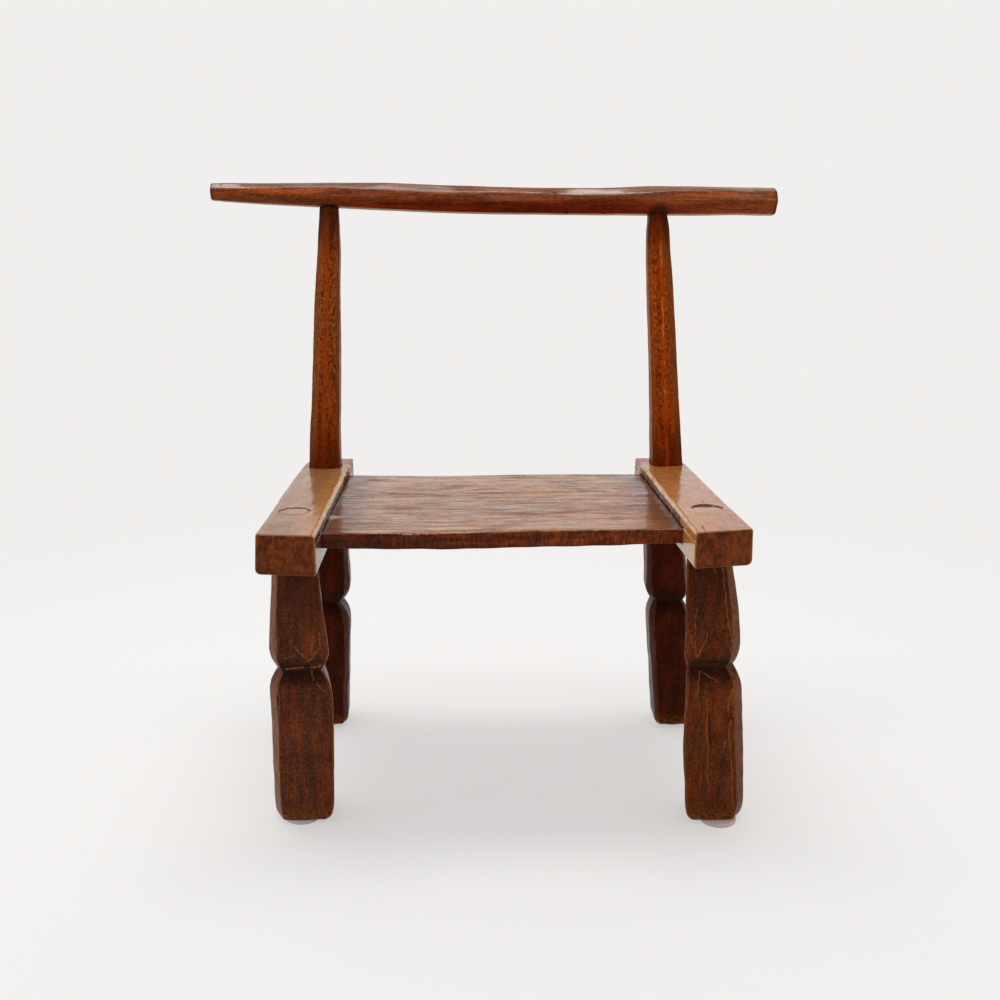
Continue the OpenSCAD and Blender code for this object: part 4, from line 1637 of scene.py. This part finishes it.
def crest_tree():
    """Sweeps a faceted section along the crest's centre line, whose radius is half its height."""
    tree, given, result = new_group(
        "crest sweep",
        [
            ("Centre Line", GEOMETRY, None), ("Sides", WHOLE, 128), ("Depth Share", FLOAT, 1.03),
            ("Hewing", FLOAT, 0.05), ("Seed", FLOAT, 4.0), ("Material", MATERIAL, None),
        ],
        [("Geometry", GEOMETRY)], "GeometryNodeTree",
    )
    place = wire(tree, "GeometryNodeInputPosition")
    line = given["Centre Line"]
    stored = []
    for name, kind, value in (
        ("centre", "FLOAT_VECTOR", place), ("half", "FLOAT", wire(tree, "GeometryNodeInputRadius")),
    ):
        line = wire(tree, "GeometryNodeStoreNamedAttribute", {
            "Geometry": line, "Name": name, "Value": value,
        }, data_type=kind, domain="POINT")
        stored.append(wire(tree, "GeometryNodeInputNamedAttribute", {"Name": name}, data_type=kind))
    spot, size = stored
    ring = {"Resolution": given["Sides"], "Radius": 0.02}
    circle = wire(tree, "GeometryNodeCurvePrimitiveCircle", ring, "Curve")
    sweep = {"Curve": line, "Profile Curve": circle, "Fill Caps": True}
    tube = wire(tree, "GeometryNodeCurveToMesh", sweep)
    _, out_y, out_z = (place - spot).parts()
    turn = out_z.math("ARCTAN2", out_y)
    total = None
    for index, (degrees, distance) in enumerate(CREST_FACETS):
        shift = wire(tree, "ShaderNodeCombineXYZ", {"Y": index * CREST_APART, "Z": given["Seed"]})
        noisy = {"Vector": shift + spot, "Scale": 11.0, "Detail": 2.0}
        wander = wire(tree, "ShaderNodeTexNoise", noisy, "Fac") - 0.5
        reach = wander * given["Hewing"] * CREST_UNEVEN + distance
        direction = math.radians(degrees)
        if index in CREST_SWINGING:
            noisy = {"Vector": spot, "Scale": 6.5, "Detail": 0.0}
            slow = wire(tree, "ShaderNodeTexNoise", noisy, "Fac")
            direction = (slow - 0.5) * CREST_SWING + direction
        faced = (turn - direction).math("COSINE").most(0.02)
        power = (faced / reach).math("POWER", CREST_SHARP)
        total = total + power if total else power
    radius = total.math("POWER", -1 / CREST_SHARP) * size
    offset = wire(tree, "ShaderNodeCombineXYZ", {
        "Y": turn.math("COSINE") * given["Depth Share"] * radius, "Z": turn.math("SINE") * radius,
    })
    moved = {"Geometry": tube, "Position": offset + spot}
    return dressed(result, wire(tree, "GeometryNodeSetPosition", moved), given["Material"])


def crest_rail(sizes, material):
    """Crest rail swept by its tree."""
    run = []
    start, end = CREST_ROWS[0][0], CREST_ROWS[-1][0]
    for x in stations(start, end, CREST_STEP, (start, end), 0.6, 3.0):
        top = smoothly(CREST_ROWS, x, 1)
        under = smoothly(CREST_ROWS, x, 2)
        run.append((seat_point(x, CREST_Y, RAIL_TOP + (top + under) / 2), (top - under) / 2 * MM))
    values = {"Hewing": sizes.crest_hewing, "Material": material}
    return grown("crest_rail_wood", lines("crest_centre_line", [run]), crest_tree(), values)


def glide_tree():
    """Rounded discs on the given points."""
    tree, given, result = new_group(
        "glides",
        [
            ("Places", GEOMETRY, None), ("Radius", FLOAT, 20 * MM), ("Thickness", FLOAT, 4 * MM),
            ("Rim", FLOAT, 1.4 * MM), ("Material", MATERIAL, None),
        ],
        [("Geometry", GEOMETRY)], "GeometryNodeTree",
    )
    disc = wire(tree, "GeometryNodeMeshCylinder", {
        "Vertices": 72, "Side Segments": 12, "Fill Segments": 5,
        "Radius": given["Radius"], "Depth": given["Thickness"],
    }, "Mesh")
    place = wire(tree, "GeometryNodeInputPosition")
    into_rim = abs(place.parts()[2]) - (given["Thickness"] * 0.5 - given["Rim"])
    share = into_rim.most(0.0) / given["Rim"]
    inset = (share * share).rest().math("SQRT").rest() * given["Rim"]
    shrink = (inset / given["Radius"]).rest()
    factor = wire(tree, "ShaderNodeCombineXYZ", {"X": shrink, "Y": shrink, "Z": 1.0})
    rounded = wire(tree, "GeometryNodeSetPosition", {"Geometry": disc, "Position": place * factor})
    copies = {"Points": given["Places"], "Instance": rounded}
    return dressed(result, wire(tree, "GeometryNodeInstanceOnPoints", copies), given["Material"])


def glides(sizes, material):
    """The four glides, one under each foot."""
    boxes = [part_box(name) for name in GLIDES]
    mesh = bpy.data.meshes.new("glides")
    mesh.from_pydata([(low + high) / 2 for low, high in boxes], [], [])
    low, high = boxes[0]
    return grown("glides_plastic", linked("glides_plastic", mesh), glide_tree(), {
        "Radius": (high.x - low.x) / 2, "Thickness": high.z - low.z,
        "Rim": sizes.glide_rim, "Material": material,
    })


# Where the slivers start and end along a groove, and how far from the rail's face they lie
SPLINTERED = (70.0, 336.0)
SPLINTER_OUT = 1.6
SPLINTER_SEED = 11


def splinter_tree():
    """Slivers of wood laid along the given lines, each with its own turn and length."""
    tree, given, result = new_group(
        "splinters",
        [
            ("Lines", GEOMETRY, None), ("Count", WHOLE, 46), ("Length", FLOAT, 7 * MM),
            ("Seed", WHOLE, SPLINTER_SEED), ("Material", MATERIAL, None),
        ],
        [("Geometry", GEOMETRY)], "GeometryNodeTree",
    )

    def chance(low, high, offset):
        """A random vector of its own for each sliver."""
        inputs = {0: low, 1: high, "Seed": given["Seed"] + offset}
        return wire(tree, "FunctionNodeRandomValue", inputs, data_type="FLOAT_VECTOR")

    run = {"Curve": given["Lines"], "Count": given["Count"]}
    shifted = wire(tree, "GeometryNodeSetPosition", {
        "Geometry": wire(tree, "GeometryNodeResampleCurve", run, mode="COUNT"),
        "Offset": chance((-0.6 * MM, -4 * MM, -0.8 * MM), (0.6 * MM, 4 * MM, 0.8 * MM), 1),
    })
    sliver = wire(tree, "GeometryNodeMeshCone", {
        "Vertices": 5, "Side Segments": 2, "Radius Top": 0.12 * MM, "Radius Bottom": 0.75 * MM,
        "Depth": given["Length"],
    }, "Mesh")
    copies = wire(tree, "GeometryNodeInstanceOnPoints", {
        "Points": shifted, "Instance": sliver,
        "Rotation": chance((-1.9, -0.3, -0.3), (-1.2, 0.3, 0.3), 2),
        "Scale": chance((0.6, 0.5, 0.4), (1.2, 1.1, 1.3), 3),
    })
    return dressed(result, copies, given["Material"])


def groove_splinters(sizes, material):
    """Slivers along both grooves, between the rails and the seat board."""
    runs = [
        [(seat_point(side * (RAIL_INNER + SPLINTER_OUT), y, RAIL_TOP - LIP_DROP), 1.0) for y in SPLINTERED]
        for side in SIDES
    ]
    return grown("groove_splinters", lines("groove_lines", runs), splinter_tree(), {
        "Count": sizes.splinters, "Length": sizes.splinter_length, "Material": material,
    })


# Stage
SENSOR = 36.0
FLOOR_REACH = 9.0
FADE = (0.5, 1.5)
FLOOR_GLOW = 0.5
FRONT_ROOM = 0.42
RIGHT_ROOM = 0.6
LAMP_PLACE = (-0.15, 0.35, 2.1)
LAMP_LONG = 1.7
LAMP_DEEP = 0.6


def ray(tree, *kinds):
    """Whether the ray that meets the surface is of one of these kinds."""
    sight = put(tree, "ShaderNodeLightPath").outputs
    met = [Wire(sight[f"Is {kind} Ray"]) for kind in kinds]
    seen = met[0]
    for other in met[1:]:
        seen = seen.most(other)
    return seen


def stage_camera(stage):
    """Camera at the photograph's place, with no shift and no depth of field."""
    data = bpy.data.cameras.new("camera")
    data.sensor_width = SENSOR
    data.sensor_fit = "HORIZONTAL"
    data.lens = stage.lens
    camera = linked("camera", data)
    camera.location = (
        SEAT_X - stage.camera_left, TIPS_Y - stage.camera_ahead, stage.camera_height
    )
    camera.rotation_euler = Euler((math.pi / 2 - stage.camera_tilt, 0.0, -stage.camera_turn))
    bpy.context.scene.camera = camera


def stage_floor(stage):
    """Pale floor that fades into the backdrop far from the chair and keeps the shadow."""
    mesh = bpy.data.meshes.new("floor")
    corners = [(-1, -1), (1, -1), (1, 1), (-1, 1)]
    mesh.from_pydata([(x * FLOOR_REACH, y * FLOOR_REACH, 0.0) for x, y in corners], [], [(0, 1, 2, 3)])
    floor = linked("floor", mesh)
    material, tree, shader, place = new_material("floor")
    seen = ray(tree, "Camera", "Glossy", "Transmission")
    fill(shader, {
        "Base Color": mixed(seen, stage.floor_bounce, stage.floor), "Roughness": 0.9,
        "Specular IOR Level": 0.0,
    })
    far = place.vector("LENGTH", output="Value")
    shine = mixed(far.spread(*FADE), stage.floor_glow, stage.backdrop)
    glow = wire(tree, "ShaderNodeEmission", {"Color": shine})
    share = far.spread(*FADE, FLOOR_GLOW, 1.0) * seen
    blend = {0: share, 1: Wire(shader.outputs[0]), 2: glow}
    fill(tree.nodes["Material Output"], {"Surface": wire(tree, "ShaderNodeMixShader", blend)})
    mesh.materials.append(material)


def stage_light(stage):
    """A large soft lamp overhead, and a pale room that is dimmer behind the camera."""
    data = bpy.data.lights.new("soft_lamp", "AREA")
    data.shape = "ELLIPSE"
    data.size = LAMP_LONG
    data.size_y = LAMP_DEEP
    data.energy = stage.lamp_power
    lamp = linked("soft_lamp", data)
    lamp.location = (SEAT_X + LAMP_PLACE[0], TIPS_Y + LAMP_PLACE[1], LAMP_PLACE[2])
    world = bpy.data.worlds.new("room")
    world.use_nodes = True
    tree = world.node_tree
    x, y, z = wire(tree, "ShaderNodeTexCoord", None, "Generated").parts()
    behind = y.spread(-0.6, 0.2, FRONT_ROOM, 1.0)
    room = behind.most(z.spread(0.5, 0.95) * 0.8) * x.spread(0.2, 0.9, 1.0, RIGHT_ROOM)
    level = room * stage.room_light
    grey = wire(tree, "ShaderNodeCombineColor", {0: level, 1: level, 2: level})
    mirrored = ray(tree, "Glossy", "Transmission") * y.spread(0.2, 0.5)
    shown = ray(tree, "Camera").most(mirrored)
    fill(tree.nodes["Background"], {"Color": mixed(shown, grey, stage.backdrop)})
    bpy.context.scene.world = world


# Operators
class CHAIR_OT_stage(bpy.types.Operator):
    """Set up the camera, the floor, the lamp and the room"""

    bl_idname = "chair.stage"
    bl_label = "Stage"

    def execute(self, context):
        stage = context.scene.chair_stage
        for name in ("camera", "floor", "soft_lamp"):
            remove_old(name)
        stage_camera(stage)
        stage_floor(stage)
        stage_light(stage)
        context.scene.view_settings.view_transform = "Standard"
        return {"FINISHED"}


class CHAIR_OT_side_rails(bpy.types.Operator):
    """Build the two side rails"""

    bl_idname = "chair.side_rails"
    bl_label = "Side Rails"

    def execute(self, context):
        material = rail_material(context.scene.chair_colours)
        for side in SIDES:
            remove_old(f"{SIDES[side]}_side_rail_wood")
            piece = side_rail(side, context.scene.chair_sizes)
            settle(piece, "rail_wood", [f"{SIDES[side]}_side_rail"], material)
        return {"FINISHED"}


class CHAIR_OT_seat_board(bpy.types.Operator):
    """Build the seat board"""

    bl_idname = "chair.seat_board"
    bl_label = "Seat Board"

    def execute(self, context):
        remove_old("seat_board_wood")
        piece = seat_board(context.scene.chair_sizes)
        settle(piece, "seat_wood", ["seat_board"], seat_material(context.scene.chair_colours))
        return {"FINISHED"}


class CHAIR_OT_front_legs(bpy.types.Operator):
    """Build the two front legs with their tenons"""

    bl_idname = "chair.front_legs"
    bl_label = "Front Legs"

    def execute(self, context):
        colours = context.scene.chair_colours
        jobs = (
            (LEFT, FRONT_LEFT_ROWS, 1.0, colours.leg),
            (RIGHT, FRONT_RIGHT_ROWS, 2.0, tinted(colours.leg, RIGHT_LEG_TINT)),
        )
        for side, rows, seed, tone in jobs:
            remove_old(f"front_{SIDES[side]}_leg_wood")
            piece = front_leg(side, rows, seed, context.scene.chair_sizes)
            name = f"front {SIDES[side]} leg wood"
            material = leg_material(name, tone, colours, FRONT_WAIST, LEG_MARKS[side])
            tip = bpy.data.materials.get("rail wood") or rail_material(colours)
            settle(piece, "leg_wood", [f"front_{SIDES[side]}_leg"], material, tip)
            for face in piece.data.polygons:
                face.material_index = int(face.center.z > (RAIL_TOP - TENON_TIP) * MM)
        return {"FINISHED"}


class CHAIR_OT_rear_sticks(bpy.types.Operator):
    """Build the two rear sticks, each a leg and a back post in one"""

    bl_idname = "chair.rear_sticks"
    bl_label = "Rear Sticks"

    def execute(self, context):
        colours = context.scene.chair_colours
        upper = post_material(colours)
        # The rear legs' darker brown is painted shade under the chair
        lower = leg_material(
            "shaded rear leg wood", colours.shaded_rear_leg, colours, REAR_WAIST, side_sheen=REAR_LEG_SIDE_SHEEN
        )
        jobs = (
            (LEFT, REAR_LEFT_ROWS, LEFT_POST_ROWS, 3.0),
            (RIGHT, REAR_RIGHT_ROWS, RIGHT_POST_ROWS, 5.0),
        )
        for side, rows, post_rows, seed in jobs:
            remove_old(f"rear_{SIDES[side]}_stick_wood")
            piece = rear_stick(side, rows, post_rows, seed, context.scene.chair_sizes)
            settle(piece, "post_wood", [f"rear_{SIDES[side]}_leg_and_post"], upper, lower)
            for face in piece.data.polygons:
                face.material_index = int(face.center.z < (RAIL_UNDER + POST_STARTS) * MM)
        return {"FINISHED"}


class CHAIR_OT_crest_rail(bpy.types.Operator):
    """Build the crest rail"""

    bl_idname = "chair.crest_rail"
    bl_label = "Crest Rail"

    def execute(self, context):
        remove_old("crest_rail_wood")
        piece = crest_rail(context.scene.chair_sizes, crest_material(context.scene.chair_colours))
        settle(piece, "crest_wood", ["crest_rail"])
        return {"FINISHED"}


class CHAIR_OT_glides(bpy.types.Operator):
    """Build the four glides"""

    bl_idname = "chair.glides"
    bl_label = "Glides"

    def execute(self, context):
        remove_old("glides_plastic")
        piece = glides(context.scene.chair_sizes, glide_material(context.scene.chair_colours))
        settle(piece, "glide_plastic", GLIDES)
        return {"FINISHED"}


class CHAIR_OT_splinters(bpy.types.Operator):
    """Lay slivers along the two grooves"""

    bl_idname = "chair.splinters"
    bl_label = "Groove Splinters"

    def execute(self, context):
        remove_old("groove_splinters")
        material = bpy.data.materials.get("rail wood") or rail_material(context.scene.chair_colours)
        piece = groove_splinters(context.scene.chair_sizes, material)
        settle(piece, "rail_wood", [])
        return {"FINISHED"}


OPERATORS = (
    CHAIR_OT_stage,
    CHAIR_OT_side_rails,
    CHAIR_OT_seat_board,
    CHAIR_OT_front_legs,
    CHAIR_OT_rear_sticks,
    CHAIR_OT_crest_rail,
    CHAIR_OT_glides,
    CHAIR_OT_splinters,
)


class CHAIR_PT_pieces(bpy.types.Panel):
    """Sizes, colours and build buttons of the chair."""

    bl_label = "Carved Wooden Chair"
    bl_idname = "CHAIR_PT_pieces"
    bl_space_type = "VIEW_3D"
    bl_region_type = "UI"
    bl_category = "Chair"

    def draw(self, context):
        layout = self.layout
        scene = context.scene
        for group in (scene.chair_sizes, scene.chair_colours, scene.chair_stage):
            box = layout.box()
            for name in group.__annotations__:
                box.prop(group, name)
        for operator in OPERATORS:
            layout.operator(operator.bl_idname)


GROUPS = (ChairSizes, ChairColours, ChairStage)


def register():
    """Registers the classes and the scene's settings."""
    for item in (*GROUPS, *OPERATORS, CHAIR_PT_pieces):
        bpy.utils.register_class(item)
    bpy.types.Scene.chair_sizes = PointerProperty(type=ChairSizes)
    bpy.types.Scene.chair_colours = PointerProperty(type=ChairColours)
    bpy.types.Scene.chair_stage = PointerProperty(type=ChairStage)


def unregister():
    """Takes back what register did."""
    del bpy.types.Scene.chair_stage
    del bpy.types.Scene.chair_colours
    del bpy.types.Scene.chair_sizes
    for item in reversed((*GROUPS, *OPERATORS, CHAIR_PT_pieces)):
        bpy.utils.unregister_class(item)


def main():
    """Registers the add-on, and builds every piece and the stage."""
    register()
    for operator in OPERATORS:
        family, action = operator.bl_idname.split(".")
        getattr(getattr(bpy.ops, family), action)()


if __name__ == "__main__":
    main()
